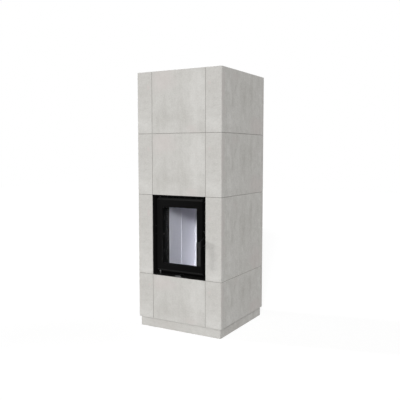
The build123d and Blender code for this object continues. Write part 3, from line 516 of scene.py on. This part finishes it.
def grainyMaterial(look):
    material, tree, shader, coordinates, _ = newMaterial(look["name"], specular=grainyShared["specular"])
    surface = place(tree, mottling, {"Place": coordinates, **sizesOf(look)})
    tone = blended(tree, surface["Cloud"], surface["Grain"], look["cloudShare"])
    tone = minus(tree, tone, times(tree, surface["Pores"], grainyShared["poreShare"]), clamp=True)
    colour = mixColours(tree, tone, shade(1.0, look["deep"]), shade(1.0, look["base"]))
    if "paintedShadeAtDoor" in look:
        # painted shade, darker towards the door, which fades out over the top of the boards: painted light
        # where they lie in shadow under the baffle
        _, depth, rise = split(tree, coordinates)
        inwards = spread(tree, depth, *fireDepth, look["paintedShadeAtDoor"], look["paintedShadeAtBack"])
        upwards = spread(tree, rise, *paintedLightRange, 1.0, look["paintedShadeShareAtTop"], smooth=True)
        colour = mixColours(tree, times(tree, inwards, upwards), colour, grainyShared["paintedShadeColour"])
    roughness = spreadNoise(tree, surface["Grain"], *grainyShared["roughness"])
    wire(tree, shader, colour, roughness, surface["Height"], look)
    return material


finishes = {slotName: grainyMaterial(look) for slotName, look in grainyLooks.items()}


# black paint: its painted shade is the share of black at the left and right of the door, darker towards the
# right, its painted slope levels are the levels of faces that look aslant upwards and downwards
plainPaint = {
    "tint": (1.0, 1.0, 1.04),
    "cloudScale": 9.0,
    "cloudShare": 0.7,
    "speckScale": 900.0,
    "speckHeight": 0.3,
    "peelScale": 420.0,
    "relief": 0.0002,
    "roughnessSwing": (-0.06, 0.08),
    "paintedShadeReach": 0.19,
    "paintedShadeShares": (0.0, 0.0),
    "slopeStart": (0.55, 0.68),
    "slopeEnd": (0.95, 0.75),
    "sideFacing": (0.6, 0.9),
    "specular": 0.08,
    "wearReach": 0.0010,
    "wearBreakup": 0.012,
    "wornColour": shade(0.09),
    "dust": 0.04,
    "dustPatch": 0.06,
    "dustColour": (0.30, 0.29, 0.27),
    "bump": 0.12,
}
paintLooks = {
    "black_enamel": {
        **plainPaint,
        "name": "blackDoorPaint",
        "base": 0.0035,
        "deep": 0.0030,
        # painted shade towards the door's right, painted light on its bevelled bands and on its recess walls
        "paintedShadeShares": (0.06, 0.75),
        "paintedSlopeLevels": (0.014, 0.030),
        "side": 0.009,
        "specular": 0.040,
        "roughness": 0.42,
        "wearReach": 0.0008,
        "wear": 0.06,
        "dust": 0.03,
        "bump": 0.2,
    },
    "handle_black": {
        **plainPaint,
        "name": "handlePaint",
        "base": 0.024,
        "deep": 0.020,
        "paintedSlopeLevels": (0.02, 0.02),
        # the side level picks out the grip's bevel facet: painted shade
        "side": 0.008,
        "sideFacing": (0.03, 0.07),
        "roughness": 0.36,
        "wearReach": 0.0012,
        "wear": 0.10,
        "dust": 0.0,
        "bump": 0.15,
    },
    "stove_steel": {
        **plainPaint,
        "name": "stovePaint",
        "base": 0.008,
        "deep": 0.006,
        # painted light on the aslant faces and painted shade on the sideways faces
        "paintedSlopeLevels": (0.010, 0.010),
        "side": 0.005,
        "roughness": 0.6,
        "wear": 0.08,
    },
    # a lighter, matte copy of the stove paint on the front posts: painted light
    "post_steel": {
        **plainPaint,
        "name": "postPaintWithPaintedLight",
        "base": 0.010,
        "deep": 0.008,
        "paintedSlopeLevels": (0.012, 0.012),
        "side": 0.012,
        "specular": 0.02,
        "roughness": 0.8,
        "wear": 0.04,
    },
}


def paintMaterial(look):
    material, tree, shader, coordinates, _ = newMaterial(look["name"], specular=look["specular"])
    cloud = noise(tree, coordinates, look["cloudScale"], detail=5.0, roughness=0.6)
    speck = noise(tree, coordinates, look["speckScale"], detail=2.0)
    tone = blended(tree, cloud, speck, look["cloudShare"])
    colour = mixColours(tree, tone, shade(look["deep"]), shade(look["base"], look["tint"]))
    across = split(tree, coordinates)[0]
    # painted shade: black mixed in across the door, more towards its right
    paintedShade = spread(tree, across, -look["paintedShadeReach"], look["paintedShadeReach"], *look["paintedShadeShares"])
    colour = mixColours(tree, paintedShade, colour, shade(0.0))
    facing = split(tree, put(tree, "ShaderNodeNewGeometry").outputs["True Normal"])
    lateral, tilt = (calc(tree, "ABSOLUTE", facing[axis]) for axis in (0, 2))
    # faces that look aslant take their own levels, the downward ones lightest: painted light on the bevelled
    # bands
    slope = times(tree, spread(tree, tilt, *look["slopeStart"]), spread(tree, tilt, *look["slopeEnd"]))
    down = calc(tree, "LESS_THAN", facing[2], 0.0)
    paintedSlopeColour = mixColours(tree, down, *(shade(level) for level in look["paintedSlopeLevels"]))
    colour = mixColours(tree, slope, colour, paintedSlopeColour)
    # faces that look sideways take their own level, lighter or darker than the face by how light falls on
    # them: painted light and painted shade
    colour = mixColours(tree, spread(tree, lateral, *look["sideFacing"]), colour, shade(look["side"]))
    colour = withWear(tree, colour, coordinates, look)
    dust = place(tree, settledDust, {"Place": coordinates, "Patch size": look["dustPatch"]})["Dust"]
    colour = mixColours(tree, times(tree, dust, look["dust"]), colour, shade(1.0, look["dustColour"]))
    smoothest, roughest = (look["roughness"] + swing for swing in look["roughnessSwing"])
    peel = noise(tree, coordinates, look["peelScale"], detail=2.0)
    height = plus(tree, peel, times(tree, speck, look["speckHeight"]))
    wire(tree, shader, colour, spread(tree, tone, 0.0, 1.0, smoothest, roughest), height, look)
    return material


for slotName, look in paintLooks.items():
    finishes[slotName] = paintMaterial(look)


# rope, metals and glass

ropeLook = {
    "base": 0.020,
    "deep": 0.007,
    "fibreScale": 1500.0,
    "patchScale": 30.0,
    "fibreShare": 0.7,
    "specular": 0.1,
    "roughness": 0.95,
    "bump": 0.6,
    "relief": 0.0003,
    "sheen": {"Sheen Weight": 0.15, "Sheen Roughness": 0.6},
}


def ropeMaterial(name, look):
    material, tree, shader, coordinates, _ = newMaterial(name, specular=look["specular"])
    fibres = noise(tree, coordinates, look["fibreScale"], detail=3.0, roughness=0.7)
    patches = noise(tree, coordinates, look["patchScale"], detail=4.0)
    tone = blended(tree, fibres, patches, look["fibreShare"])
    colour = mixColours(tree, tone, shade(look["deep"]), shade(look["base"]))
    wire(tree, shader, colour, look["roughness"], fibres, look)
    feed(tree, shader, look["sheen"])
    return material


finishes["black_rope"] = ropeMaterial("glassFibreRope", ropeLook)

# brushing is in lines per metre along each axis, so the fewest run the way of the brush
bareSteel = {
    "cloudScale": 60.0,
    "wearReach": 0.0006,
    "wearBreakup": 0.004,
    "wornColour": shade(0.72),
    "brushedSwing": 0.07,
    "cloudSwing": 0.04,
    "relief": 0.0001,
}
darkSteel = {
    **bareSteel,
    "tint": (1.0, 1.0, 1.03),
    "roughness": 0.42,
    "brushing": (500.0, 500.0, 500.0),
    "wear": 0.5,
    "bump": 0.2,
}
metalLooks = {
    "bright_steel": {
        **bareSteel,
        "name": "brushedSteel",
        "base": 0.62,
        "deep": 0.50,
        "tint": (1.0, 0.99, 0.97),
        "roughness": 0.34,
        "brushing": (60.0, 900.0, 900.0),
        "wear": 0.3,
        "bump": 0.3,
    },
    "blackened_fixings": {**darkSteel, "name": "blackenedSteel", "base": 0.085, "deep": 0.055},
    # a lighter copy of the blackened steel on the air lever: painted light on its tab
    "lever_steel": {**darkSteel, "name": "leverSteelWithPaintedLight", "base": 0.115, "deep": 0.080},
}


def metalMaterial(look):
    material, tree, shader, coordinates, _ = newMaterial(look["name"], metallic=1.0)
    lines = calcVector(tree, "MULTIPLY", coordinates, look["brushing"])
    brushed = noise(tree, lines, scale=1.0, detail=3.0, roughness=0.7)
    cloud = noise(tree, coordinates, look["cloudScale"], detail=4.0)
    darkest, lightest = (shade(look[level], look["tint"]) for level in ("deep", "base"))
    colour = mixColours(tree, spreadNoise(tree, cloud), darkest, lightest)
    colour = withWear(tree, colour, coordinates, look)
    swing = spreadNoise(tree, brushed, -look["brushedSwing"], look["brushedSwing"])
    swing = plus(tree, swing, spreadNoise(tree, cloud, -look["cloudSwing"], look["cloudSwing"]))
    wire(tree, shader, colour, plus(tree, swing, look["roughness"]), brushed, look)
    return material


for slotName, look in metalLooks.items():
    finishes[slotName] = metalMaterial(look)

zincLook = {
    "light": (0.62, 0.63, 0.64),
    "dark": (0.42, 0.43, 0.44),
    "flakeScale": 95.0,
    "flakeShare": 0.55,
    "cloudScale": 14.0,
    "roughness": (0.38, 0.56),
    "wearReach": 0.0010,
    "wearBreakup": 0.01,
    "wear": 0.3,
    "wornColour": shade(0.7),
    "bump": 0.15,
    "relief": 0.0004,
}


def zincMaterial(name, look):
    material, tree, shader, coordinates, _ = newMaterial(name, metallic=1.0)
    cells = put(tree, "ShaderNodeTexVoronoi", {"Vector": coordinates, "Scale": look["flakeScale"]})
    flake = outOf(tree, "ShaderNodeSeparateColor", {0: cells.outputs["Color"]})
    cloud = noise(tree, coordinates, look["cloudScale"], detail=5.0)
    clouded = spreadNoise(tree, cloud, 0.0, 1.0 - look["flakeShare"])
    tone = plus(tree, times(tree, flake, look["flakeShare"]), clouded)
    colour = mixColours(tree, tone, shade(1.0, look["dark"]), shade(1.0, look["light"]))
    colour = withWear(tree, colour, coordinates, look)
    wire(tree, shader, colour, spread(tree, flake, 0.0, 1.0, *look["roughness"]), cloud, look)
    return material


finishes["zinc_steel"] = zincMaterial("zincSheet", zincLook)

glassLook = {
    "tint": shade(1.0, (0.97, 0.98, 0.985)),
    "ior": 1.14,
    "haze": 0.03,
    "hazeScale": 7.0,
    "hazyRange": (0.45, 0.75),
}


def glassMaterial(name, look):
    material, tree, shader, coordinates, output = newMaterial(name)
    haze = noise(tree, coordinates, look["hazeScale"], detail=5.0, roughness=0.7)
    pane = {"Base Color": look["tint"], "Transmission Weight": 1.0, "IOR": look["ior"]}
    feed(tree, shader, {**pane, "Roughness": spread(tree, haze, *look["hazyRange"], 0.0, look["haze"])})
    # lamps reach the boards behind the pane
    lampRay = put(tree, "ShaderNodeLightPath").outputs["Is Shadow Ray"]
    clear = outOf(tree, "ShaderNodeBsdfTransparent", {"Color": look["tint"]})
    surfaces = {0: lampRay, 1: shader.outputs["BSDF"], 2: clear}
    feed(tree, output, {"Surface": outOf(tree, "ShaderNodeMixShader", surfaces)})
    return material


finishes["door_glass"] = glassMaterial("ceramicGlass", glassLook)

ownFinishes = {
    "lining_back_board": "back_board",
    "front_posts": "post_steel",
    "air_lever": "lever_steel",
    "air_slide": "stove_steel",
    "air_box": "stove_steel",
}
for node, slotName in {**slotOfNode, **ownFinishes}.items():
    if slotName in finishes:
        dress(node, finishes[slotName])
print("plain finishes:", sorted(finishes))


# pieces that take the place of square-edged solids

def newObject(name, data):
    made = bpy.data.objects.new(name, data)
    bpy.context.scene.collection.objects.link(made)
    return made


def freshPiece(name, mesh, body, slotName, material=None):
    piece = newObject(name, mesh)
    mesh.materials.clear()
    mesh.materials.append(material or finishes[slotName])
    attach(piece, body)
    return piece


def replacement(name, mesh, node, material=None):
    piece = freshPiece(name, mesh, bodyOfNode[node], slotOfNode[node], material)
    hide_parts(node)


def smoothMesh(name, shape):
    mesh = bpy.data.meshes.new(name)
    shape.to_mesh(mesh)
    shape.free()
    for polygon in mesh.polygons:
        polygon.use_smooth = True
        polygon.material_index = 0
    return mesh


def settle(piece):
    # turns what the modifiers make into a plain mesh
    bpy.context.view_layer.update()
    evaluated = piece.evaluated_get(bpy.context.evaluated_depsgraph_get())
    mesh = bpy.data.meshes.new_from_object(evaluated)
    mesh.name = piece.name
    piece.modifiers.clear()
    bpy.data.objects.remove(piece)
    return mesh


# metres and degrees: edges sharper than bevelFrom are rounded, and shading breaks at sharpFrom
softening = {"weld": 0.00002, "flatWithin": 0.4, "bevelFrom": 28.0, "sharpFrom": 18.0, "steps": 2}


def softenEdges(nodeName, newName, width):
    shape = bmesh.new()
    shape.from_mesh(frame["nodes"][nodeName].data)
    bmesh.ops.remove_doubles(shape, verts=shape.verts, dist=softening["weld"])
    flatWithin = math.radians(softening["flatWithin"])
    bmesh.ops.dissolve_limit(shape, angle_limit=flatWithin, verts=shape.verts, edges=shape.edges)
    rough = newObject(newName + "_rough", smoothMesh(newName, shape))
    bevel = rough.modifiers.new("softEdges", "BEVEL")
    bevel.width = width
    bevel.segments = softening["steps"]
    bevel.limit_method = "ANGLE"
    bevel.angle_limit = math.radians(softening["bevelFrom"])
    bevel.use_clamp_overlap = True
    finished = settle(rough)
    finished.set_sharp_from_angle(angle=math.radians(softening["sharpFrom"]))
    replacement(newName, finished, nodeName, frame["nodes"][nodeName].data.materials[0])


softEdges = {
    "door_leaf": ("doorLeaf", 0.0008),
    "door_frame": ("doorFrame", 0.0006),
    "handle": ("doorHandle", 0.0007),
    "handle_lugs": ("handleLugs", 0.0008),
    "latch_keeper": ("latchKeeper", 0.0010),
    "latch_tongue": ("latchTongue", 0.0008),
    "air_lever": ("airLever", 0.0005),
    "glass_clips": ("glassClips", 0.0004),
    "hinge_pins": ("hingePins", 0.0005),
    "hinge_washer": ("hingeWasher", 0.0004),
    "handle_pin": ("handlePin", 0.0005),
    "lining_front_boards": ("frontSideBoards", 0.0012),
    "lining_rear_boards": ("rearSideBoards", 0.0012),
    "lining_back_board": ("backBoard", 0.0012),
    "lining_floor": ("fireFloor", 0.0012),
    "lining_lip": ("fireLip", 0.0025),
    "baffle_plate": ("baffle", 0.0015),
    "front_posts": ("frontPosts", 0.0008),
    "plinth_front": ("plinthFront", 0.0010),
    "plinth_back": ("plinthBack", 0.0010),
    "plinth_sides": ("plinthSides", 0.0010),
    "flue_collar": ("smokeCollar", 0.0008),
    "air_duct": ("airPipe", 0.0004),
}
for node, (newName, width) in softEdges.items():
    softenEdges(node, newName, width)
print("edges softened:", len(softEdges), "pieces")


# woven and braided goods, and fixings, from geometry nodes

def vector(tree, x=0.0, y=0.0, z=0.0):
    return outOf(tree, "ShaderNodeCombineXYZ", {0: x, 1: y, 2: z})


def geometryGroup(name, inputs):
    return newGroup(name, inputs, ["Geometry"], kind="GeometryNodeTree")


def finishShape(tree, geometry, material, result):
    smooth = outOf(tree, "GeometryNodeSetShadeSmooth", {0: geometry})
    single = outOf(tree, "GeometryNodeRealizeInstances", {0: smooth})
    dressed = outOf(tree, "GeometryNodeSetMaterial", {"Geometry": single, "Material": material})
    tree.links.new(dressed, result.inputs[0])


def resampled(tree, curve, count):
    return outOf(tree, "GeometryNodeResampleCurve", {"Curve": curve, "Count": count}, mode="COUNT")


def swept(tree, curve, section):
    return outOf(tree, "GeometryNodeCurveToMesh", {"Curve": curve, "Profile Curve": section})


def movedPoints(tree, geometry, **movement):
    return outOf(tree, "GeometryNodeSetPosition", {"Geometry": geometry, **movement})


filletSteps = 6


def loopPath(tree, given):
    # a rounded rectangle in the XY plane, with evenly spaced points
    size = {"Width": given["Across"], "Height": given["Up"]}
    outline = outOf(tree, "GeometryNodeCurvePrimitiveQuadrilateral", size)
    fillet = {"Curve": outline, "Radius": given["Corner"], "Count": filletSteps}
    rounded = outOf(tree, "GeometryNodeFilletCurve", fillet, mode="POLY")
    return resampled(tree, rounded, given["Samples"])


def standUp(tree, geometry, given, turn=0.0):
    # turns the XY plane into the front plane, or a plane at that turn, and moves the result to its place
    turned = vector(tree, math.pi / 2, 0.0, turn)
    values = {"Geometry": geometry, "Translation": given["Centre"], "Rotation": turned}
    return outOf(tree, "GeometryNodeTransform", values)


loopInputs = {
    "Across": 0.4,
    "Up": 0.5,
    "Corner": 0.009,
    "Centre": (0.0, 0.0, 0.0),
    "Samples": 1200,
    "Material": None,
}
strandsPerHand = 4
strandSides = 5


def buildBraid():
    # strands of both hands along a loop, which pass over and under each other
    tree, given, result = geometryGroup(
        "braidedRope",
        {
            **loopInputs,
            "Turns": 50,
            "Ring radius": 0.0032,
            "Weave height": 0.0005,
            "Strand radius": 0.0013,
            "Depth share": 0.75,
        },
    )
    path = {"Geometry": loopPath(tree, given), "Amount": 2 * strandsPerHand}
    strands = put(tree, "GeometryNodeDuplicateElements", path, domain="SPLINE").outputs
    number = strands["Duplicate Index"]
    other = calc(tree, "GREATER_THAN", number, strandsPerHand - 0.5)
    hand = minus(tree, 1.0, times(tree, other, 2.0))
    along = put(tree, "GeometryNodeSplineParameter").outputs["Factor"]
    turned = times(tree, times(tree, along, given["Turns"]), 2 * math.pi)
    angle = plus(tree, times(tree, turned, hand), times(tree, number, 2 * math.pi / strandsPerHand))
    swing = times(tree, calc(tree, "COSINE", times(tree, angle, strandsPerHand)), hand)
    reach = plus(tree, given["Ring radius"], times(tree, swing, given["Weave height"]))
    tangent = outOf(tree, "GeometryNodeInputTangent")
    outward = calcVector(tree, "CROSS_PRODUCT", tangent, (0.0, 0.0, 1.0))
    sideways = scaled(tree, outward, times(tree, reach, calc(tree, "COSINE", angle)))
    rise = vector(tree, z=times(tree, reach, calc(tree, "SINE", angle)))
    wound = movedPoints(tree, strands["Geometry"], Offset=calcVector(tree, "ADD", sideways, rise))
    circle = {"Resolution": strandSides, "Radius": given["Strand radius"]}
    section = outOf(tree, "GeometryNodeCurvePrimitiveCircle", circle)
    squeeze = {"Geometry": swept(tree, wound, section), "Scale": vector(tree, 1.0, 1.0, given["Depth share"])}
    pressed = outOf(tree, "GeometryNodeTransform", squeeze)
    finishShape(tree, standUp(tree, pressed, given), given["Material"], result)
    return tree


def buildTape():
    # a flat woven tape along a loop; the weave is a chequer of raised and sunk points
    tree, given, result = geometryGroup(
        "wovenTape",
        {
            **loopInputs,
            "Tape width": 0.008,
            "Tape depth": 0.003,
            "Points round": 16,
            "Weave height": 0.00015,
        },
    )
    path = outOf(tree, "GeometryNodeSetCurveNormal", {"Curve": loopPath(tree, given)}, mode="Z_UP")
    size = {"Width": given["Tape width"], "Height": given["Tape depth"]}
    section = outOf(tree, "GeometryNodeCurvePrimitiveQuadrilateral", size)
    band = swept(tree, path, resampled(tree, section, given["Points round"]))
    index = outOf(tree, "GeometryNodeInputIndex")
    station = calc(tree, "FLOOR", divided(tree, index, given["Points round"]))
    chequer = calc(tree, "MODULO", plus(tree, index, station), 2.0)
    normal = outOf(tree, "GeometryNodeInputNormal")
    dip = scaled(tree, normal, times(tree, times(tree, chequer, given["Weave height"]), -1.0))
    woven = movedPoints(tree, band, Offset=dip)
    finishShape(tree, standUp(tree, woven, given), given["Material"], result)
    return tree


# rings of a screw's head from the socket's floor outward, as shares of the head's radius and height
headRings = (
    (0.00, 0.45),
    (0.46, 0.45),
    (0.50, 0.95),
    (0.54, 1.00),
    (0.93, 1.00),
    (1.00, 0.86),
    (1.00, 0.05),
    (0.97, 0.00),
)
socketRings = 3  # the first rings are drawn out to a hexagon
threadTurns = 9
threadRoot = 0.86  # the thread's inner radius, as a share of the shank's
screwSides = 24
weldWithin = 0.00001


def buildScrews():
    # socket screws on a grid; a screw is a grid of points wound round its axis
    tree, given, result = geometryGroup(
        "socketScrews",
        {
            "Columns": 2,
            "Rows": 2,
            "Step across": 0.3,
            "Step up": 0.3,
            "Centre": (0.0, 0.0, 0.0),
            "Turn": 0.0,
            "Head radius": 0.004,
            "Head height": 0.0025,
            "Shank radius": 0.0019,
            "Shank length": 0.01,
            "Material": None,
        },
    )
    threadRings = 2 * threadTurns + 2
    rings = len(headRings) + threadRings
    grid = {"Size X": 1.0, "Size Y": 1.0, "Vertices X": screwSides + 1, "Vertices Y": rings}
    sheet = outOf(tree, "GeometryNodeMeshGrid", grid)
    index = outOf(tree, "GeometryNodeInputIndex")
    ring = calc(tree, "MODULO", index, rings)
    turn = times(tree, calc(tree, "FLOOR", divided(tree, index, rings)), 2 * math.pi / screwSides)
    radius = put(tree, "GeometryNodeIndexSwitch", {"Index": ring}, data_type="FLOAT")
    height = put(tree, "GeometryNodeIndexSwitch", {"Index": ring}, data_type="FLOAT")
    for switch in (radius, height):
        for _ in range(rings - 2):
            switch.index_switch_items.new()
    for step, (share, rise) in enumerate(headRings):
        feed(tree, radius, {step + 1: times(tree, given["Head radius"], share)})
        feed(tree, height, {step + 1: times(tree, given["Head height"], rise)})
    # crests and roots by turns, and the last ring closes the tip
    root = times(tree, given["Shank radius"], threadRoot)
    pitch = divided(tree, given["Shank length"], threadRings - 1)
    for step in range(threadRings):
        socket = len(headRings) + step + 1
        if step < threadRings - 1:
            feed(tree, radius, {socket: root if step % 2 else given["Shank radius"]})
        feed(tree, height, {socket: times(tree, pitch, -step)})
    # the socket's corners lie at each sixth of a turn
    sixth, half = math.pi / 3, math.pi / 6
    fold = minus(tree, calc(tree, "MODULO", plus(tree, turn, half), sixth), half)
    flat = calc(tree, "COSINE", minus(tree, half, calc(tree, "ABSOLUTE", fold)))
    hexagon = divided(tree, math.cos(half), flat)
    inSocket = calc(tree, "LESS_THAN", ring, socketRings - 0.5)
    stretch = plus(tree, times(tree, inSocket, minus(tree, hexagon, 1.0)), 1.0)
    reach = times(tree, radius.outputs[0], stretch)
    across, up = (times(tree, reach, calc(tree, way, turn)) for way in ("COSINE", "SINE"))
    wound = movedPoints(tree, sheet, Position=vector(tree, across, up, height.outputs[0]))
    weld = {"Geometry": wound, "Distance": weldWithin}
    closed = outOf(tree, "GeometryNodeMergeByDistance", weld)
    screw = outOf(tree, "GeometryNodeFlipFaces", {"Mesh": closed})
    copyCount = times(tree, given["Columns"], given["Rows"])
    line = outOf(tree, "GeometryNodeMeshLine", {"Count": copyCount})
    column = calc(tree, "MODULO", index, given["Columns"])
    row = calc(tree, "FLOOR", divided(tree, index, given["Columns"]))
    spots = []
    for number, count, step in ((column, "Columns", "Step across"), (row, "Rows", "Step up")):
        middle = times(tree, minus(tree, given[count], 1.0), 0.5)
        spots.append(times(tree, minus(tree, number, middle), given[step]))
    laid = movedPoints(tree, line, Position=vector(tree, *spots))
    points = outOf(tree, "GeometryNodeMeshToPoints", {"Mesh": laid})
    copies = outOf(tree, "GeometryNodeInstanceOnPoints", {"Points": points, "Instance": screw})
    finishShape(tree, standUp(tree, copies, given, given["Turn"]), given["Material"], result)
    return tree


def shapedMesh(name, tree, values):
    # the mesh that a geometry node tree makes with these inputs
    holder = newObject(name, bpy.data.meshes.new(name))
    modifier = holder.modifiers.new(name, "NODES")
    modifier.node_group = tree
    for item in tree.interface.items_tree:
        if item.in_out == "INPUT" and item.name in values:
            modifier[item.identifier] = values[item.name]
    return settle(holder)


def joined(name, meshes):
    shape = bmesh.new()
    for mesh in meshes:
        shape.from_mesh(mesh)
    return smoothMesh(name, shape)


braidedRope = buildBraid()
wovenTape = buildTape()
socketScrews = buildScrews()

# a loop's width is taken off its box, because its path runs along the middle of the rope or tape
loops = {
    "door_rope": {
        "name": "doorRope",
        "tree": braidedRope,
        "width": 0.010,
        "shape": {"Corner": 0.009, "Samples": 1250, "Turns": 50},
    },
    "frame_seal": {
        "name": "frameSeal",
        "tree": wovenTape,
        "width": 0.001,
        "shape": {"Corner": 0.0008, "Samples": 560, "Points round": 22, "Weave height": 0.00008},
    },
    "glass_gasket": {
        "name": "glassGasket",
        "tree": wovenTape,
        "width": 0.008,
        "shape": {"Corner": 0.0008, "Samples": 620, "Points round": 18, "Weave height": 0.00018},
    },
}
for node, look in loops.items():
    low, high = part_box(node)
    values = {
        **look["shape"],
        "Across": high.x - low.x - look["width"],
        "Up": high.z - low.z - look["width"],
        "Centre": ((low.x + high.x) / 2, (low.y + high.y) / 2, (low.z + high.z) / 2),
        "Tape width": look["width"],
        "Tape depth": high.y - low.y,
        "Material": finishes["black_rope"],
    }
    replacement(look["name"], shapedMesh(look["name"], look["tree"], values), node)
print("rope and tapes made")


def screwSize(*sizes):
    return dict(zip(("Head radius", "Head height", "Shank radius", "Shank length"), sizes))


frontScrew = screwSize(0.0049, 0.0020, 0.0029, 0.014)
clipScrew = screwSize(0.0040, 0.0025, 0.0019, 0.010)
smallScrew = screwSize(0.0034, 0.0016, 0.0016, 0.003)
tinyScrew = screwSize(0.0025, 0.0012, 0.0012, 0.003)
holeShadeScrew = screwSize(0.0036, 0.0020, 0.0020, 0.006)
screwTurns = {"toFront": 0.0, "toRight": math.pi / 2, "toBack": math.pi, "toLeft": -math.pi / 2}


def screwSet(name, slotName, grids):
    # a grid is (screw, the way its heads look, columns, rows, step across, step up, centre)
    meshes = []
    for sizes, way, *places in grids:
        values = dict(zip(("Columns", "Rows", "Step across", "Step up", "Centre"), places))
        values.update({**sizes, "Turn": screwTurns[way], "Material": finishes[slotName]})
        meshes.append(shapedMesh(name, socketScrews, values))
    return joined(name, meshes)


def headSpans(low, high, screw):
    # from the first head's middle to the last one's, across and up
    return [high[axis] - low[axis] - 2 * screw["Head radius"] for axis in (0, 2)]


low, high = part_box("frame_screws")
width, height = headSpans(low, high, frontScrew)
centre = (0.0, low.y + frontScrew["Head height"], (low.z + high.z) / 2)
frameGrids = [(frontScrew, "toFront", 2, 3, width, height / 2, centre)]
replacement("frameScrews", screwSet("frameScrews", "blackened_fixings", frameGrids), "frame_screws")

clipPitch = {"side": 0.240, "end": 0.160}
low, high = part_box("clip_screws")
width, height = headSpans(low, high, clipScrew)
centre = (0.0, high.y - clipScrew["Head height"], (low.z + high.z) / 2)
clipGrids = [
    (clipScrew, "toBack", 2, 2, width, clipPitch["side"], centre),
    (clipScrew, "toBack", 2, 2, clipPitch["end"], height, centre),
]
replacement("clipScrews", screwSet("clipScrews", "blackened_fixings", clipGrids), "clip_screws")

# fixings too small for the CAD model, at places read from the photograph
flange = {"front": -0.303, "rivetHeight": 0.9915, "rivetStep": 0.050, "rivets": 6}
recess = {"wall": 0.2160, "screwDepth": -0.322, "screwMiddle": 0.742, "screwStep": 0.062}
boardHoles = {"wall": 0.148, "depth": 0.0045, "middle": 0.0065, "step": 0.092, "height": 0.566}
reveal = {"wall": 0.147, "depth": -0.321, "height": 0.716}
rivetMiddle = (0.0, flange["front"], flange["rivetHeight"])
stoveGrids = [(smallScrew, "toFront", flange["rivets"], 1, flange["rivetStep"], 0.0, rivetMiddle)]
doorGrids = []
for side, way in ((-1, "toRight"), (1, "toLeft")):
    spot = (side * recess["wall"], recess["screwDepth"], recess["screwMiddle"])
    stoveGrids.append((smallScrew, way, 1, 2, 0.0, recess["screwStep"], spot))
    # dark screw heads sunk in the lining's holes: painted shade, a dark thing where the holes lie in shade
    spot = (side * (boardHoles["wall"] + boardHoles["depth"]), boardHoles["middle"], boardHoles["height"])
    stoveGrids.append((holeShadeScrew, way, 2, 1, boardHoles["step"], 0.0, spot))
    spot = (side * reveal["wall"], reveal["depth"], reveal["height"])
    doorGrids.append((tinyScrew, way, 1, 1, 0.0, 0.0, spot))
for name, body, slotName, grids in (
    ("smallFixings", "stove", "blackened_fixings", stoveGrids),
    ("revealScrews", "door", "bright_steel", doorGrids),
):
    freshPiece(name, screwSet(name, slotName, grids), body, slotName)
print("screws made")


# camera, lamps, world and floor

viewpoint = {
    "location": (2.1426, -3.7494, 1.3132),
    "tilt": 90.0 - 4.797,
    "turn": 30.008,
    "lens": 50.1,
    "sensor": 36.0,
}
camera = newObject("mainCamera", bpy.data.cameras.new("mainCamera"))
camera.location = viewpoint["location"]
camera.rotation_euler = (math.radians(viewpoint["tilt"]), 0.0, math.radians(viewpoint["turn"]))
camera.data.lens = viewpoint["lens"]
camera.data.sensor_width = viewpoint["sensor"]
bpy.context.scene.camera = camera

# level 1 lights a face that looks straight at the lamp at its written colour
lamps = {
    "frontLamp": {"azimuth": 20.6, "elevation": 19.5, "level": 0.650, "softness": 9.0},
    "leftLamp": {"azimuth": -76.0, "elevation": 11.5, "level": 0.67, "softness": 6.5},
    "rearFill": {"azimuth": 135.0, "elevation": 30.0, "level": 0.265, "softness": 40.0},
}
lampDistance = 6.0
for name, look in lamps.items():
    lamp = newObject(name, bpy.data.lights.new(name, "SUN"))
    lamp.data.energy = look["level"] * math.pi
    lamp.data.angle = math.radians(look["softness"])
    azimuth, elevation = math.radians(look["azimuth"]), math.radians(look["elevation"])
    outward = math.cos(elevation)
    towards = Vector((math.sin(azimuth) * outward, -math.cos(azimuth) * outward, math.sin(elevation)))
    lamp.location = towards * lampDistance
    lamp.rotation_euler = (-towards).to_track_quat("-Z", "Y").to_euler()

surroundings = {
    "ambient": 0.29,
    "floorSize": 30.0,
    "floorColour": 0.35,
    "floorRoughness": 0.9,
    "floorLift": 0.76,
}


def seenDirectly(tree):
    # 1 for what the camera sees, also by a reflection or through the glass, 0 for light that a face gathers
    path = put(tree, "ShaderNodeLightPath").outputs
    reflected = calc(tree, "MAXIMUM", path["Is Glossy Ray"], path["Is Transmission Ray"])
    first = calc(tree, "LESS_THAN", path["Diffuse Depth"], 0.5)
    return calc(tree, "MAXIMUM", path["Is Camera Ray"], times(tree, reflected, first))


world = bpy.data.worlds.new("studio")
world.use_nodes = True
tree = world.node_tree
tree.nodes.clear()
ambient, white = (
    outOf(tree, "ShaderNodeBackground", {"Color": shade(1.0), "Strength": strength})
    for strength in (surroundings["ambient"], 1.0)
)
both = outOf(tree, "ShaderNodeMixShader", {0: seenDirectly(tree), 1: ambient, 2: white})
put(tree, "ShaderNodeOutputWorld", {"Surface": both})
bpy.context.scene.world = world

half = surroundings["floorSize"] / 2
corners = [(-half, -half, 0), (half, -half, 0), (half, half, 0), (-half, half, 0)]
floorMesh = bpy.data.meshes.new("studioFloor")
floorMesh.from_pydata(corners, [], [(0, 1, 2, 3)])
floor = newObject("studioFloor", floorMesh)
floorMaterial, tree, shader, _, _ = newMaterial("paleFloor", specular=0.0)
lift = times(tree, seenDirectly(tree), surroundings["floorLift"])
plain = {"Base Color": shade(surroundings["floorColour"]), "Roughness": surroundings["floorRoughness"]}
feed(tree, shader, {**plain, "Emission Color": shade(1.0), "Emission Strength": lift})
floorMesh.materials.append(floorMaterial)
bpy.context.scene.view_settings.view_transform = "Standard"
print("camera, lamps and floor set")
